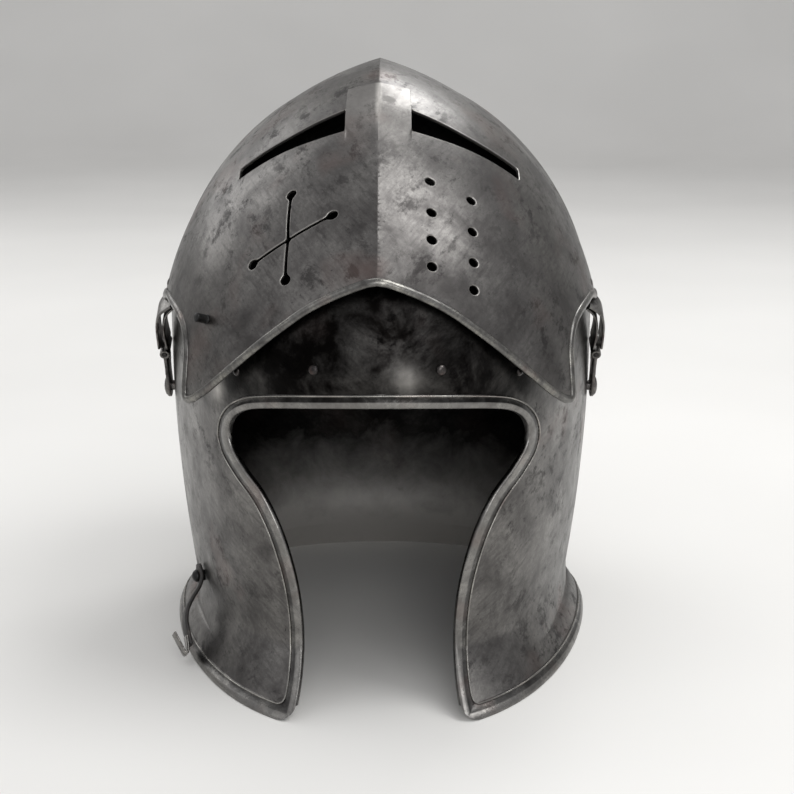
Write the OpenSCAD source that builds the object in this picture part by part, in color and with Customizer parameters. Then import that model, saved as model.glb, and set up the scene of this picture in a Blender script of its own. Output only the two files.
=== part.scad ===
// Visored barbute: an open-faced war helmet with a keeled face plate that lifts
// on two side pivots. Millimetres, +Z up, the face looks along -Y.
// The helmet stands on its bottom rim with the face plate raised.

/* [Skull] */
// Half of the greatest width of the skull
skull_half_width = 106.5; // [98:0.5:114]
// Height of the widest ring above the rim
widest_height = 150; // [130:1:170]
// Height of the top of the skull above the rim
skull_height = 266.5; // [250:0.5:280]
// Half width of the neck at its narrowest
neck_half_width = 95; // [88:0.2:100]
// Height of the narrowest part of the neck above the rim
neck_height = 25; // [18:1:35]
// Height of the crease where the sides start to flare
crease_height = 13; // [8:0.5:17]
// How far the rim flares out to each side below the crease
rim_flare = 9.5; // [4:0.5:14]
// Reach of the widest ring forward of its own middle
front_reach = 186; // [170:1:196]
// Reach of the widest ring back from its own middle
back_reach = 80; // [70:1:90]
// Share of the front that the keel takes
keel_share = 0.06; // [0:0.01:0.2]
// Thickness of the skull plate
skull_plate = 2; // [1.5:0.1:3]

/* [Face opening] */
// Half width of the opening just under the brow
opening_half_width = 65.6; // [58:0.2:72]
// Half width of the gap between the cheek plates
cheek_gap = 33.6; // [25:0.2:45]
// Width of the bands round the opening and the rim
band_width = 5.5; // [3:0.5:8]
// How proud the bands stand
band_height = 0.7; // [0.3:0.1:1.5]

/* [Face plate] */
// Clearance of the face plate's turning circle above the top of the skull
plate_top_gap = 7.5; // [6:0.5:12]
// Clearance of the turning circle before the front of the widest ring
plate_front_gap = 12.3; // [8:0.1:16]
// How far the face plate's curve stands out beyond the side of the skull
plate_side_gap = 2; // [1.5:0.1:4]
// Thickness of the face plate
plate_thickness = 1.5; // [1:0.1:2.5]
// Width of the rolled edge
roll_width = 3.2; // [2:0.1:5]
// Width of each breath hole
breath_hole = 4.5; // [3:0.1:6]
// Width of the cuts of the pierced cross
cross_cut = 1.6; // [1:0.1:3]
// Half width of the bridge between the sights
bridge_half_width = 14; // [8:0.5:20]
// How far out from the keel each sight runs
sight_reach = 62.5; // [50:0.5:75]

/* [Pivots and hinges] */
// Height of the pivot line above the rim
pivot_height = 115.5; // [105:0.5:125]
// Diameter of the pivot rivet's shank
pivot_shank = 5; // [4:0.1:7]
// Diameter of the pivot rivet's head
pivot_head = 10; // [8:0.5:14]
// Thickness of the pivot arms
arm_thickness = 1.6; // [1.2:0.1:2.5]
// Outer radius of the hinge knuckles
knuckle_radius = 2.4; // [2.2:0.1:4]
// Radius of the hinge pins
pin_radius = 1.25; // [1:0.05:2]
// Distance from the pivot line to the hinge pins
pin_distance = 24.9; // [20:0.1:30]
// How far inside the widest part of the skull the arms lie
arm_inset = 3.1; // [2:0.1:3.4]
// How far inside the widest part of the skull the hinge pins lie
pin_inset = 2.6; // [1.5:0.1:2.8]

/* [Strap and peg] */
// Length of the hanging strap from its stud
strap_length = 33; // [28:1:60]
// Width of the strap
strap_width = 9; // [6:0.5:14]
// Thickness of the strap
strap_thickness = 1.8; // [1.5:0.1:4]
// Width of the head of the lifting peg
peg_head = 6.4; // [4:0.2:9]

/* [Hidden] */
$fn = 64;
tilt = 14.1;
face_back = -1.5;
face_drop = 5.8;
face_height = pivot_height - face_drop;
plate_radius = max(skull_height - pivot_height + plate_top_gap,
    norm([front_reach - 44, widest_height - pivot_height]) + plate_front_gap);
plate_half_width = skull_half_width + plate_side_gap;
arm_lean = 28;
arm_in = skull_half_width - arm_inset;
pin_side = skull_half_width - pin_inset;
hinge_half = 6.5;
knuckle_split = 2.6;
leaf_width = 14;
side_power = 2.5;
front_power = 1.65;
back_power = 2.15;
arch = 56;
arch_power = 2.2;
// Shares of the size that the face plate's outlines and holes were laid out at
round_share = plate_radius / 158.5;
wide_share = plate_half_width / 108.5;
stud_height = 34;
stud_share = 0.865;
washer_gap = 0.2;
stud_turn = 20;
strap_swing = 35;
fore_shift = 8.48;

// Skull: every level is an egg, fuller behind and drawn to a keel in front.
function rise(z, in) = min(1, (z - widest_height) / (skull_height - in - widest_height));
function level_width(z, in = 0) = -in + (z > widest_height
    ? (skull_half_width) * pow(1 - pow(rise(z, in), 1.8), 1 / 1.8)
    : skull_half_width - (skull_half_width - neck_half_width)
        * pow(1 - max(0, (z - neck_height) / (widest_height - neck_height)), 2)
        + (z < crease_height ? rim_flare * pow(1 - z / crease_height, 0.6) : 0));
function level_middle(z) = z <= widest_height
    ? 12 + 32 * z / widest_height
    : 44 - 12 * pow(min(1, (z - widest_height) / (skull_height - widest_height)), 1.6);
function level_front(z, in = 0) = -in + (z > widest_height
    ? front_reach * sqrt(1 - pow(rise(z, in), 1.7))
    : front_reach - 43 * min(1, (widest_height - z) / 125)
        + (z < neck_height ? 20 * pow(1 - z / neck_height, 1.15) : 0));
function below(z) = min(1, (widest_height - z) / 125);
function level_back(z, in = 0) = -in + (z > widest_height
    ? back_reach * pow(1 - pow(rise(z, in), 2), 0.55)
    : back_reach + 43.3 * below(z) - 52.6 * below(z) * below(z)
        + (z < neck_height ? 16 * pow(1 - z / neck_height, 1.15) : 0));
function signed_power(v, n) = sign(v) * pow(abs(v), n);
function keeled(t, r) = (1 - keel_share) * t + keel_share * (1 - r);
function skull_point(z, a, in = 0) = sin(a) >= 0
    ? let (x = max(0.01, level_width(z, in)) * signed_power(cos(a), 2 / side_power))
      [x,
       level_middle(z) - max(0.01, level_front(z, in))
         * keeled(pow(sin(a), 2 / front_power), abs(x) / max(0.01, level_width(z, in))),
       z]
    : [max(0.01, level_width(z, in)) * signed_power(cos(a), 2 / back_power),
       level_middle(z) + max(0.01, level_back(z, in)) * pow(-sin(a), 2 / back_power),
       z];
function front_y(x, z) = let (r = min(1, abs(x) / level_width(z)))
    level_middle(z) - level_front(z)
        * keeled(pow(1 - pow(r, side_power), 1 / front_power), r);

// Half of the inner width of the skull at a place ahead of its middle
function flank(y, z, in, low = 0, high = 1, left = 24) = let (
        r = (low + high) / 2,
        ahead = (level_middle(z) - y) / level_front(z, in)
    ) left == 0 ? r * level_width(z, in)
    : keeled(pow(1 - pow(r, side_power), 1 / front_power), r) > ahead
        ? flank(y, z, in, r, high, left - 1)
        : flank(y, z, in, low, r, left - 1);

// Heights of the levels that the skull is drawn through
ladder = concat(
    [for (i = [0 : 5]) crease_height * i / 5],
    [for (i = [1 : 3]) crease_height + (neck_height - crease_height) * i / 3],
    [for (i = [1 : 9]) neck_height + (widest_height - neck_height) * i / 9],
    [for (a = [9 : 9 : 81]) widest_height + (skull_height - widest_height) * sin(a)]
);
round_steps = 72;

function inner_height(z, in) = z <= widest_height ? z
    : widest_height + (z - widest_height) * (skull_height - in - widest_height)
        / (skull_height - widest_height);

// A closed shell between an outer and an inner sheet of rings, each with a cap point.
module capped_shell(outer, inner, outer_cap, inner_cap) {
    rows = len(outer);
    n = len(outer[0]);
    half = rows * n;
    points = concat(
        [for (ring = outer) each ring],
        [for (ring = inner) each ring],
        [outer_cap, inner_cap]
    );
    faces = concat(
        [for (i = [0 : rows - 2]) for (j = [0 : n - 1])
            let (a = i * n + j, b = i * n + (j + 1) % n)
            each [[a, b + n, b], [a, a + n, b + n]]],
        [for (i = [0 : rows - 2]) for (j = [0 : n - 1])
            let (a = half + i * n + j, b = half + i * n + (j + 1) % n)
            each [[a, b, b + n], [a, b + n, a + n]]],
        [for (j = [0 : n - 1])
            let (a = j, b = (j + 1) % n)
            each [[a, b, half + b], [a, half + b, half + a]]],
        [for (j = [0 : n - 1])
            let (a = (rows - 1) * n + j, b = (rows - 1) * n + (j + 1) % n)
            each [[a, 2 * half, b], [half + a, half + b, 2 * half + 1]]]
    );
    polyhedron(points = points, faces = faces);
}

// A solid swept through a list of equal rings of points, closed flat at both ends.
module swept(rings) {
    rows = len(rings);
    n = len(rings[0]);
    polyhedron(
        points = [for (ring = rings) each ring],
        faces = concat(
            [for (i = [0 : rows - 2]) for (j = [0 : n - 1])
                let (a = i * n + j, b = i * n + (j + 1) % n)
                each [[a, b, b + n], [a, b + n, a + n]]],
            [for (j = [1 : n - 2]) [0, j + 1, j]],
            [for (j = [1 : n - 2]) let (o = (rows - 1) * n) [o, o + j, o + j + 1]]
        )
    );
}

// A smooth run through a few corner points
function curve(p, steps = 4) = [
    for (i = [0 : len(p) - 2]) for (k = [0 : steps - (i == len(p) - 2 ? 0 : 1)])
        let (a = p[max(0, i - 1)], b = p[i], c = p[i + 1], d = p[min(len(p) - 1, i + 2)],
             t = k / steps)
        0.5 * (2 * b + (c - a) * t + (2 * a - 5 * b + 4 * c - d) * t * t
            + (3 * b - a - 3 * c + d) * t * t * t)
];
function unit(v) = v / norm(v);
function side_step(p, i) = let (d = unit(p[min(len(p) - 1, i + 1)] - p[max(0, i - 1)]))
    [-d[1], d[0]];
function shifted(p, by) = [for (i = [0 : len(p) - 1]) p[i] + by * side_step(p, i)];

// Outline of the face opening, right half, seen straight into the face
half_opening = curve([
    [0, -4.5],
    [25, -4.5],
    [48, -4.5],
    [57, -5.6],
    [63, -9],
    [opening_half_width, -15],
    [64.2, -22],
    [58.5, -31],
    [50, -42],
    [43, -56],
    [38.6, -69],
    [35.6, -82],
    [cheek_gap + 0.4, -95],
    [cheek_gap, -108],
    [cheek_gap + 0.4, -120],
    [cheek_gap + 1.8, -131],
    [cheek_gap + 4.4, -142],
    [cheek_gap + 8, -155]
]);
function mirrored(p) = concat(
    [for (i = [len(p) - 1 : -1 : 1]) [-p[i][0], p[i][1]]],
    p
);
opening_line = mirrored(half_opening);

// Where a line of sight into the face meets the front of the skull
function on_front(p, y = -120, left = 7) = let (
        z = face_height + p[1] / cos(tilt) - (y - face_back) * tan(tilt),
        found = front_y(p[0], z)
    ) left == 0 ? [p[0], found, z] : on_front(p, found, left - 1);
function out_from(p) = let (
        q = on_front(p),
        across = on_front(p + [0.5, 0]) - q,
        upward = on_front(p + [0, 0.5]) - q
    ) unit(cross(across, upward));
function lifted(p, by) = on_front(p) + by * out_from(p);

module into_face() {
    translate([0, face_back, face_height])
        rotate([-tilt, 0, 0])
        rotate([90, 0, 0])
        linear_extrude(height = front_reach + 74)
        children();
}

module skull_form() {
    color([0.42, 0.41, 0.40])
    difference() {
        capped_shell(
            [for (z = ladder) [for (j = [0 : round_steps - 1])
                skull_point(z, j * 360 / round_steps)]],
            [for (z = ladder) [for (j = [0 : round_steps - 1])
                skull_point(inner_height(z, skull_plate), j * 360 / round_steps, skull_plate)]],
            [0, level_middle(skull_height), skull_height],
            [0, level_middle(skull_height), skull_height - skull_plate]
        );
        into_face() polygon(concat(
            [[-cheek_gap - 8, -2 * face_height]], opening_line, [[cheek_gap + 8, -2 * face_height]]
        ));
        translate([0, 0, pivot_height])
            rotate([0, 90, 0])
            cylinder(d = pivot_shank + 0.1, h = 2 * skull_half_width + 27, center = true);
    }
}

function band_ring(a, b) = [
    lifted(a, 0.15),
    lifted(a, 0.15 + band_height),
    lifted(b, 0.15 + band_height),
    lifted(b, 0.15)
];

module opening_band_form() {
    edge = shifted(opening_line, 0.2);
    far = shifted(opening_line, band_width);
    keep = [for (i = [0 : len(edge) - 1])
        if (min(on_front(edge[i])[2], on_front(far[i])[2]) > 1.2) i];
    color([0.5, 0.49, 0.47])
        swept([for (i = keep) band_ring(edge[i], far[i])]);
}

function rim_ring(a) = let (
        low = skull_point(0.2, a),
        high = skull_point(band_width, a),
        along = skull_point(0.2, a + 5) - skull_point(0.2, a - 5),
        out = unit(cross(high - low, along))
    ) [low + 0.15 * out, high + 0.15 * out,
       high + (0.15 + band_height) * out, low + (0.15 + band_height) * out];

module rim_band_form() {
    color([0.5, 0.49, 0.47])
        swept([for (a = [70 : -5 : -250]) rim_ring(a)]);
}

// Face plate: one pointed arch turned about the pivot line.
function arch_base() = pow(1 - pow(arch / (plate_half_width + arch), arch_power), 1 / arch_power);
function plate_reach(x, in = 0) = let (
        q = min(1, (abs(x) + arch) / (plate_half_width - in + arch))
    ) (plate_radius - in) * pow(1 - pow(q, arch_power), 1 / arch_power) / arch_base();
function plate_side(r) = (plate_half_width + arch)
    * pow(1 - pow(min(1, r * arch_base() / plate_radius), arch_power), 1 / arch_power) - arch;
arch_stops = wide_share
    * [0, 3, 8, 14, 20, 27, 34, 41, 48, 55, 62, 68, 74, 79, 84, 88, 92, 95, 98, 101, 103.5];
function arch_line(in, reach = 2 * plate_half_width) = concat(
    [for (i = [len(arch_stops) - 1 : -1 : 1])
        if (arch_stops[i] < reach) [plate_reach(arch_stops[i], in), -arch_stops[i]]],
    [for (x = arch_stops) if (x < reach) [plate_reach(x, in), x]]
);

module turned_about_pivots() {
    translate([0, 0, pivot_height]) rotate([0, 90, 0]) rotate_extrude() children();
}

module seen_from_side(width) {
    translate([-width / 2, 0, 0]) rotate([90, 0, 90]) linear_extrude(height = width) children();
}

// Points of the drawn outline, brought to the plate's own radius about the pivot line
function about_pivot(p) = [for (q = p)
    [q[0] * round_share, pivot_height + (q[1] - 115.5) * round_share]];

// Lower and rear edge of the face plate seen from the side, chin first
lower_edge = curve(about_pivot([
    [-139.7, 190.5],
    [-137, 184.8],
    [-134, 178.2],
    [-130.6, 169.8],
    [-125.4, 159.8],
    [-118.8, 149.8],
    [-109.8, 139.4],
    [-101.5, 133],
    [-95.5, 130.4],
    [-91.6, 131.4],
    [-90, 135.5],
    [-89, 143],
    [-86, 153],
    [-79, 160.5],
    [-68, 164.6],
    [-54, 166.4],
    [-40, 166.8]
]), 3);
plate_edge = shifted(lower_edge, roll_width);

module plate_outline() {
    polygon(concat(
        about_pivot([[-175, 215], [-146, 199]]),
        plate_edge,
        about_pivot([[-25, 163.5], [-13, 163], [-9, 166], [-5, 190], [0, 235], [7, 285],
            [-175, 285]])
    ));
}

// A spot on the face plate: x across, a up from level, out along its own surface line
function plate_spot(x, a, out = 0) = let (
        r = plate_reach(x),
        lean = (plate_reach(abs(x) - 0.5) - plate_reach(abs(x) + 0.5)),
        nx = sign(x) * lean / sqrt(1 + lean * lean),
        nr = 1 / sqrt(1 + lean * lean)
    ) [x + out * nx, -(r + out * nr) * cos(a), pivot_height + (r + out * nr) * sin(a)];

module standing_on(from, to) {
    d = unit(to - from);
    translate(from) rotate([0, acos(d[2]), atan2(d[1], d[0])]) children();
}

module breath(drawn_x, a) {
    x = drawn_x * wide_share;
    standing_on(plate_spot(x, a, -12), plate_spot(x, a, 12)) cylinder(d = breath_hole, h = 24);
}

module wedge_side(low, high, reach = plate_radius + 31.5) {
    polygon([
        [-60 * cos(low), pivot_height + 60 * sin(low)],
        [-reach * cos(low), pivot_height + reach * sin(low)],
        [-reach * cos(high), pivot_height + reach * sin(high)],
        [-60 * cos(high), pivot_height + 60 * sin(high)]
    ]);
}

module sight() {
    translate([bridge_half_width + 0.5, 0, pivot_height])
        rotate(a = 2, v = [0, -cos(62.3), sin(62.3)])
        translate([0, 0, -pivot_height])
        rotate([90, 0, 90])
        linear_extrude(height = sight_reach - bridge_half_width - 0.5)
        wedge_side(59.9, 64.7);
}

module cross_bar() {
    a = plate_spot(-18.7 * wide_share, 41.1);
    b = plate_spot(-52.7 * wide_share, 36.3);
    middle = -36.9 * wide_share;
    up = unit(plate_spot(middle, 39.3, 10) - plate_spot(middle, 39.3));
    along = unit(b - a);
    over = unit(cross(up, along));
    out = cross(along, over);
    multmatrix([
        [along[0], over[0], out[0], a[0]],
        [along[1], over[1], out[1], a[1]],
        [along[2], over[2], out[2], a[2]]
    ]) translate([0, -cross_cut / 2, -18]) cube([norm(b - a), cross_cut, 40]);
}

module face_plate_form() {
    color([0.46, 0.45, 0.44])
    difference() {
        intersection() {
            turned_about_pivots() polygon(concat(
                arch_line(0),
                [for (i = [len(arch_line(0)) - 1 : -1 : 0]) arch_line(plate_thickness)[i]]
            ));
            seen_from_side(2 * plate_half_width + 13) plate_outline();
        }
        sight();
        mirror([1, 0, 0]) sight();
        breath(21.9, 48.1);
        breath(22.4, 42);
        breath(22.4, 37);
        breath(22.4, 32.4);
        breath(39.4, 47.2);
        breath(39.6, 40.7);
        breath(39.8, 34.8);
        breath(39.8, 29.8);
        breath(-36.7, 48);
        breath(-38.1, 31.4);
        breath(-18.7, 41.1);
        breath(-52.7, 36.3);
        translate([-37.4 * wide_share - cross_cut / 2, 0, 0])
            rotate([90, 0, 90])
            linear_extrude(height = cross_cut)
            wedge_side(31.4, 48);
        cross_bar();
    }
}

function ring_round(at, along, out, r) = let (
        u = unit(along),
        n = unit(out - u * (out * u)),
        b = cross(u, n)
    ) [for (a = [0 : 45 : 315]) at + r * (cos(a) * n + sin(a) * b)];

roll_line = [for (p = shifted(lower_edge, roll_width / 2 - 0.1))
    let (r = norm([p[0], p[1] - pivot_height]))
    [plate_side(min(r, plate_radius - 0.01)), p[0], p[1]]];
roll_path = concat(
    [for (i = [len(roll_line) - 1 : -1 : 1]) [-roll_line[i][0], roll_line[i][1], roll_line[i][2]]],
    [[0, roll_line[0][1], roll_line[0][2]]],
    [for (i = [1 : len(roll_line) - 1]) roll_line[i]]
);

module face_plate_roll_form() {
    n = len(roll_path);
    color([0.52, 0.51, 0.49])
    swept([for (i = [0 : n - 1]) let (
            here = roll_path[i],
            along = roll_path[min(n - 1, i + 1)] - roll_path[max(0, i - 1)],
            out = [sign(here[0]) * 0.6, here[1] / 150, (here[2] - pivot_height) / 150]
        ) ring_round(here, along, out, roll_width / 2 - 0.15)]);
}

// Half of the bridge's cross section: side stations and how proud it stands there
bridge_stops = [1, 4 / 7, 3 / 14, 0, -3 / 14, -4 / 7, -1];
function bridge_line(out, lip) = [for (t = bridge_stops) let (x = t * bridge_half_width)
    [plate_reach(x) + out - (abs(t) == 1 ? lip : 0), x]];

module sight_bridge_form() {
    color([0.48, 0.47, 0.46])
    intersection() {
        turned_about_pivots() polygon(concat(
            [for (i = [6 : -1 : 0]) bridge_line(0.12, 0)[i]],
            bridge_line(1.4, 0.1)
        ));
        seen_from_side(4 * bridge_half_width) wedge_side(59.7, 70.2);
    }
}

module arm_frame() {
    translate([0, 0, pivot_height]) rotate([arm_lean, 0, 0]) children();
}

module flat_across(width) {
    translate([0, width / 2, 0]) rotate([90, 0, 0]) linear_extrude(height = width) children();
}

module bored_knuckle(from, to) {
    translate([pin_side, from, pin_distance]) rotate([-90, 0, 0]) difference() {
        cylinder(r = knuckle_radius, h = to - from);
        translate([0, 0, -1]) cylinder(r = pin_radius + 0.05, h = to - from + 2);
    }
}

module arm_form() {
    color([0.44, 0.43, 0.42])
    arm_frame() union() {
        difference() {
            intersection() {
                flat_across(20) polygon([
                    [arm_in, -8],
                    [arm_in, 6],
                    [arm_in - 0.4, 16],
                    [arm_in - 0.3, pin_distance],
                    [arm_in - 0.3 + arm_thickness, pin_distance],
                    [arm_in - 0.4 + arm_thickness, 16],
                    [arm_in + arm_thickness, 6],
                    [arm_in + arm_thickness, -8]
                ]);
                union() {
                    translate([arm_in - 13, 0, 0]) rotate([0, 90, 0]) cylinder(r = 5.6, h = 30);
                    translate([arm_in - 13, -5.6, 0]) cube([30, 11.2, 12]);
                    translate([arm_in - 13, -hinge_half, 12])
                        cube([30, 2 * hinge_half, pin_distance - 12]);
                }
            }
            translate([arm_in - 13, 0, 0]) rotate([0, 90, 0])
                cylinder(d = pivot_shank + 0.1, h = 30);
            translate([arm_in - 13, -knuckle_split, pin_distance - knuckle_radius - 0.4])
                cube([30, 2 * knuckle_split, 12]);
            translate([pin_side, 0, pin_distance]) rotate([90, 0, 0])
                cylinder(r = knuckle_radius - 0.4, h = 30, center = true);
        }
        bored_knuckle(-hinge_half, -knuckle_split);
        bored_knuckle(knuckle_split, hinge_half);
    }
}

// The leaf runs from the pin up to the rear of the face plate, across from the pin
leaf_stretch = (65.1 * round_share - pin_distance) / 40.2;
function from_pin(p) = [for (q = p) [pin_side + q[0], pin_distance + q[1] * leaf_stretch]];

module leaf_form() {
    color([0.5, 0.49, 0.47])
    arm_frame() union() {
        bored_knuckle(-knuckle_split + 0.3, knuckle_split - 0.3);
        difference() {
            flat_across(leaf_width) polygon(concat(
                curve(from_pin([[1.3, 1.3], [1.2, 7.1], [1.1, 15.1], [0.7, 23.1], [-0.5, 29.6],
                    [-2.2, 34.6], [-4, 39.6]]), 3),
                curve(from_pin([[-2.4, 40.2], [-0.5, 35.2], [1.2, 30.1], [2.4, 23.4], [2.8, 15.1],
                    [2.8, 7.1], [2, 1.5]]), 3)
            ));
            for (s = [-1, 1])
                translate([pin_side - 14, s == 1 ? knuckle_split - 0.3 : -20.3 - knuckle_split + 0.6,
                    pin_distance - 8])
                    cube([30, 20, 8 + knuckle_radius + 0.4]);
            translate([pin_side, 0, pin_distance]) rotate([90, 0, 0])
                cylinder(r = knuckle_radius - 0.4, h = 30, center = true);
        }
    }
}

module pin_form() {
    color([0.3, 0.29, 0.28])
    arm_frame() translate([pin_side, -hinge_half - 0.2, pin_distance]) rotate([-90, 0, 0])
        cylinder(r = pin_radius, h = 2 * hinge_half + 0.4);
}

module dome(d, h) {
    rotate_extrude() polygon(concat(
        [[0, 0], [d / 2, 0]],
        [for (a = [10 : 10 : 80]) [d / 2 * cos(a), h * sin(a)]],
        [[0, h]]
    ));
}

module leaf_rivet_form() {
    color([0.4, 0.39, 0.38])
    arm_frame() for (s = [-1, 1])
        translate([pin_side - 0.85, s * 3.6, pin_distance + 36.3 * leaf_stretch])
            rotate([0, 70, 0]) dome(3.6, 1.2);
}

module pivot_rivet_form() {
    color([0.5, 0.49, 0.47])
    translate([0, 0, pivot_height]) rotate([0, 90, 0]) union() {
        translate([0, 0, washer_in - 0.1])
            cylinder(d = pivot_shank, h = arm_in - washer_in + 1 + arm_thickness);
        translate([0, 0, arm_in + arm_thickness + 0.05]) dome(pivot_head, 1.9);
        translate([0, 0, washer_in - 0.1]) mirror([0, 0, 1]) dome(8, 1.4);
    }
}

// The washer stops short of the wall at its forward edge, where the skull narrows
washer_thickness = 1.1;
washer_in = flank(-6, pivot_height, skull_plate) - washer_gap - washer_thickness;

module washer_form() {
    color([0.38, 0.37, 0.36])
    translate([washer_in, 0, pivot_height]) rotate([0, 90, 0]) difference() {
        cylinder(r = 6, h = washer_thickness);
        translate([0, 0, -1]) cylinder(d = pivot_shank + 0.1, h = 4);
    }
}

module lining_rivets_form() {
    color([0.5, 0.49, 0.47])
    for (x = [-60, -26, 26, 60])
        standing_on(lifted([x, 11], 0.12), lifted([x, 11], 6)) dome(5, 1.3);
}

module lifting_peg_form() {
    color([0.12, 0.12, 0.12])
    standing_on(plate_spot(-72 * wide_share, 28.6, 0.15), plate_spot(-72 * wide_share, 28.6, 10))
    rotate_extrude() polygon([
        [0, 0],
        [3.6, 0],
        [3.4, 0.8],
        [2, 1.2],
        [1.8, 4.6],
        [peg_head / 2, 5.1],
        [peg_head / 2 + 0.1, 5.7],
        [peg_head / 2 - 0.5, 6.6],
        [1.6, 7.3],
        [0, 7.5]
    ]);
}

// Strap and stud are laid out with the stud's axis along +X, then set on the cheek.
stud_x = -stud_share * level_width(stud_height);
stud_y = front_y(stud_x, stud_height);

module on_cheek() {
    translate([stud_x, stud_y, stud_height]) rotate([0, 0, 180 + stud_turn]) children();
}

module strap_stud_form() {
    color([0.1, 0.1, 0.1])
    on_cheek() rotate([0, 90, 0]) translate([0, 0, 0.6]) rotate_extrude() polygon([
        [0, 0],
        [2.6, 0],
        [2.6, 0.6],
        [1.5, 0.7],
        [1.5, 3.6],
        [2.8, 3.6],
        [2.9, 4.4],
        [2.3, 5.3],
        [1.2, 5.8],
        [0, 5.9]
    ]);
}

// Back of the strap seen edge on: out from the stud's root, down from its axis
strap_end = -strap_length;
strap_back = curve([[1.55, 5.5], [1.5, -1.5], [2.6, -6], [5.2, -11], [7.7, -16], [9.5, -22],
    [10.7, -28], [11.5, strap_end]], 3);

module hung_strap() {
    on_cheek() rotate([strap_swing, 0, 0]) children();
}

module closing_strap_form() {
    color([0.08, 0.07, 0.06])
    hung_strap() difference() {
        intersection() {
            flat_across(strap_width) polygon(concat(
                strap_back,
                [for (i = [len(strap_back) - 1 : -1 : 0])
                    strap_back[i] - strap_thickness * side_step(strap_back, i) * -1]
            ));
            union() {
                rotate([0, 90, 0]) cylinder(r = strap_width / 2 + 0.8, h = 20);
                translate([-5, -strap_width, -60]) cube([40, 2 * strap_width, 60]);
            }
        }
        rotate([0, 90, 0]) translate([0, 0, -5]) cylinder(r = 1.55, h = 20);
    }
}

// The hook wraps the end of the strap and turns up outside it
module strap_hook_form() {
    color([0.7, 0.69, 0.67])
    hung_strap() flat_across(strap_width - 1.5) translate([0, strap_end + 33]) polygon([
        [13, -29.5],
        [13.95, -29.5],
        [14.35, -33],
        [14.5, -35.6],
        [14.9, -36.2],
        [15.3, -35.6],
        [16.4, -31],
        [17.3, -31.2],
        [16.3, -36.3],
        [15.4, -37.4],
        [14.2, -37.6],
        [13.45, -36.6],
        [13.45, -33.2]
    ]);
}

// Every piece is set down with the middle of the base at the origin.
module set_down() {
    translate([0, fore_shift, 0]) children();
}

// The skull's two halves meet on the keel, so that each bends only one way round.
module half_of_skull(side) {
    intersection() {
        skull_form();
        translate([side > 0 ? 0 : -2 * skull_half_width, -2 * front_reach, -1])
            cube([2 * skull_half_width, 4 * front_reach, skull_height + 2]);
    }
}

module skull_left() {
    set_down() half_of_skull(-1);
}

module skull_right() {
    set_down() half_of_skull(1);
}

module opening_band() {
    set_down() opening_band_form();
}

module rim_band() {
    set_down() rim_band_form();
}

module face_plate() {
    set_down() face_plate_form();
}

module face_plate_roll() {
    set_down() face_plate_roll_form();
}

module sight_bridge() {
    set_down() sight_bridge_form();
}

module pivot_arm_left() {
    set_down() mirror([1, 0, 0]) arm_form();
}

module pivot_arm_right() {
    set_down() arm_form();
}

module hinge_leaf_left() {
    set_down() mirror([1, 0, 0]) leaf_form();
}

module hinge_leaf_right() {
    set_down() leaf_form();
}

module hinge_pin_left() {
    set_down() mirror([1, 0, 0]) pin_form();
}

module hinge_pin_right() {
    set_down() pin_form();
}

module leaf_rivets_left() {
    set_down() mirror([1, 0, 0]) leaf_rivet_form();
}

module leaf_rivets_right() {
    set_down() leaf_rivet_form();
}

module pivot_rivet_left() {
    set_down() mirror([1, 0, 0]) pivot_rivet_form();
}

module pivot_rivet_right() {
    set_down() pivot_rivet_form();
}

module pivot_washer_left() {
    set_down() mirror([1, 0, 0]) washer_form();
}

module pivot_washer_right() {
    set_down() washer_form();
}

module lining_rivets() {
    set_down() lining_rivets_form();
}

module lifting_peg() {
    set_down() lifting_peg_form();
}

module strap_stud() {
    set_down() strap_stud_form();
}

module closing_strap() {
    set_down() closing_strap_form();
}

module strap_hook() {
    set_down() strap_hook_form();
}

skull_left();
skull_right();
opening_band();
rim_band();
face_plate();
face_plate_roll();
sight_bridge();
pivot_arm_left();
pivot_arm_right();
hinge_leaf_left();
hinge_leaf_right();
hinge_pin_left();
hinge_pin_right();
leaf_rivets_left();
leaf_rivets_right();
pivot_rivet_left();
pivot_rivet_right();
pivot_washer_left();
pivot_washer_right();
lining_rivets();
lifting_peg();
strap_stud();
closing_strap();
strap_hook();
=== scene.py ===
import math

import bmesh
import bpy
import numpy as np
from mathutils import Matrix, Vector, geometry


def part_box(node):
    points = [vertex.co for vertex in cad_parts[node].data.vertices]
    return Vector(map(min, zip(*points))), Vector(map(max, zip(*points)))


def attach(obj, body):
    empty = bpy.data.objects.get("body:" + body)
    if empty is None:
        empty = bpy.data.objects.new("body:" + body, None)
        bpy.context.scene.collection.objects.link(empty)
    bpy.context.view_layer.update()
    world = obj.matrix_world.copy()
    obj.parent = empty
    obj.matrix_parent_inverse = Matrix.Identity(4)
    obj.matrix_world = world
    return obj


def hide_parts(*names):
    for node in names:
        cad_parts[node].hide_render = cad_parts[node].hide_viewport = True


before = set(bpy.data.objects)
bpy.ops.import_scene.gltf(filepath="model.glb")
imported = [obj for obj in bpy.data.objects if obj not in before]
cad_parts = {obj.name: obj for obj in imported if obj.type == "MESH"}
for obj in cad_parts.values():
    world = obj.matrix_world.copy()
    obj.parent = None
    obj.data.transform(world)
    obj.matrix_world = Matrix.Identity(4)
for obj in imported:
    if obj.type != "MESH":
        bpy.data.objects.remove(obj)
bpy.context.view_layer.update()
foreShift = 8.48  # mm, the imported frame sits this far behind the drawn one
print("frame loaded")


def added(name, data):
    item = bpy.data.objects.new(name, data)
    bpy.context.scene.collection.objects.link(item)
    return item


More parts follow.
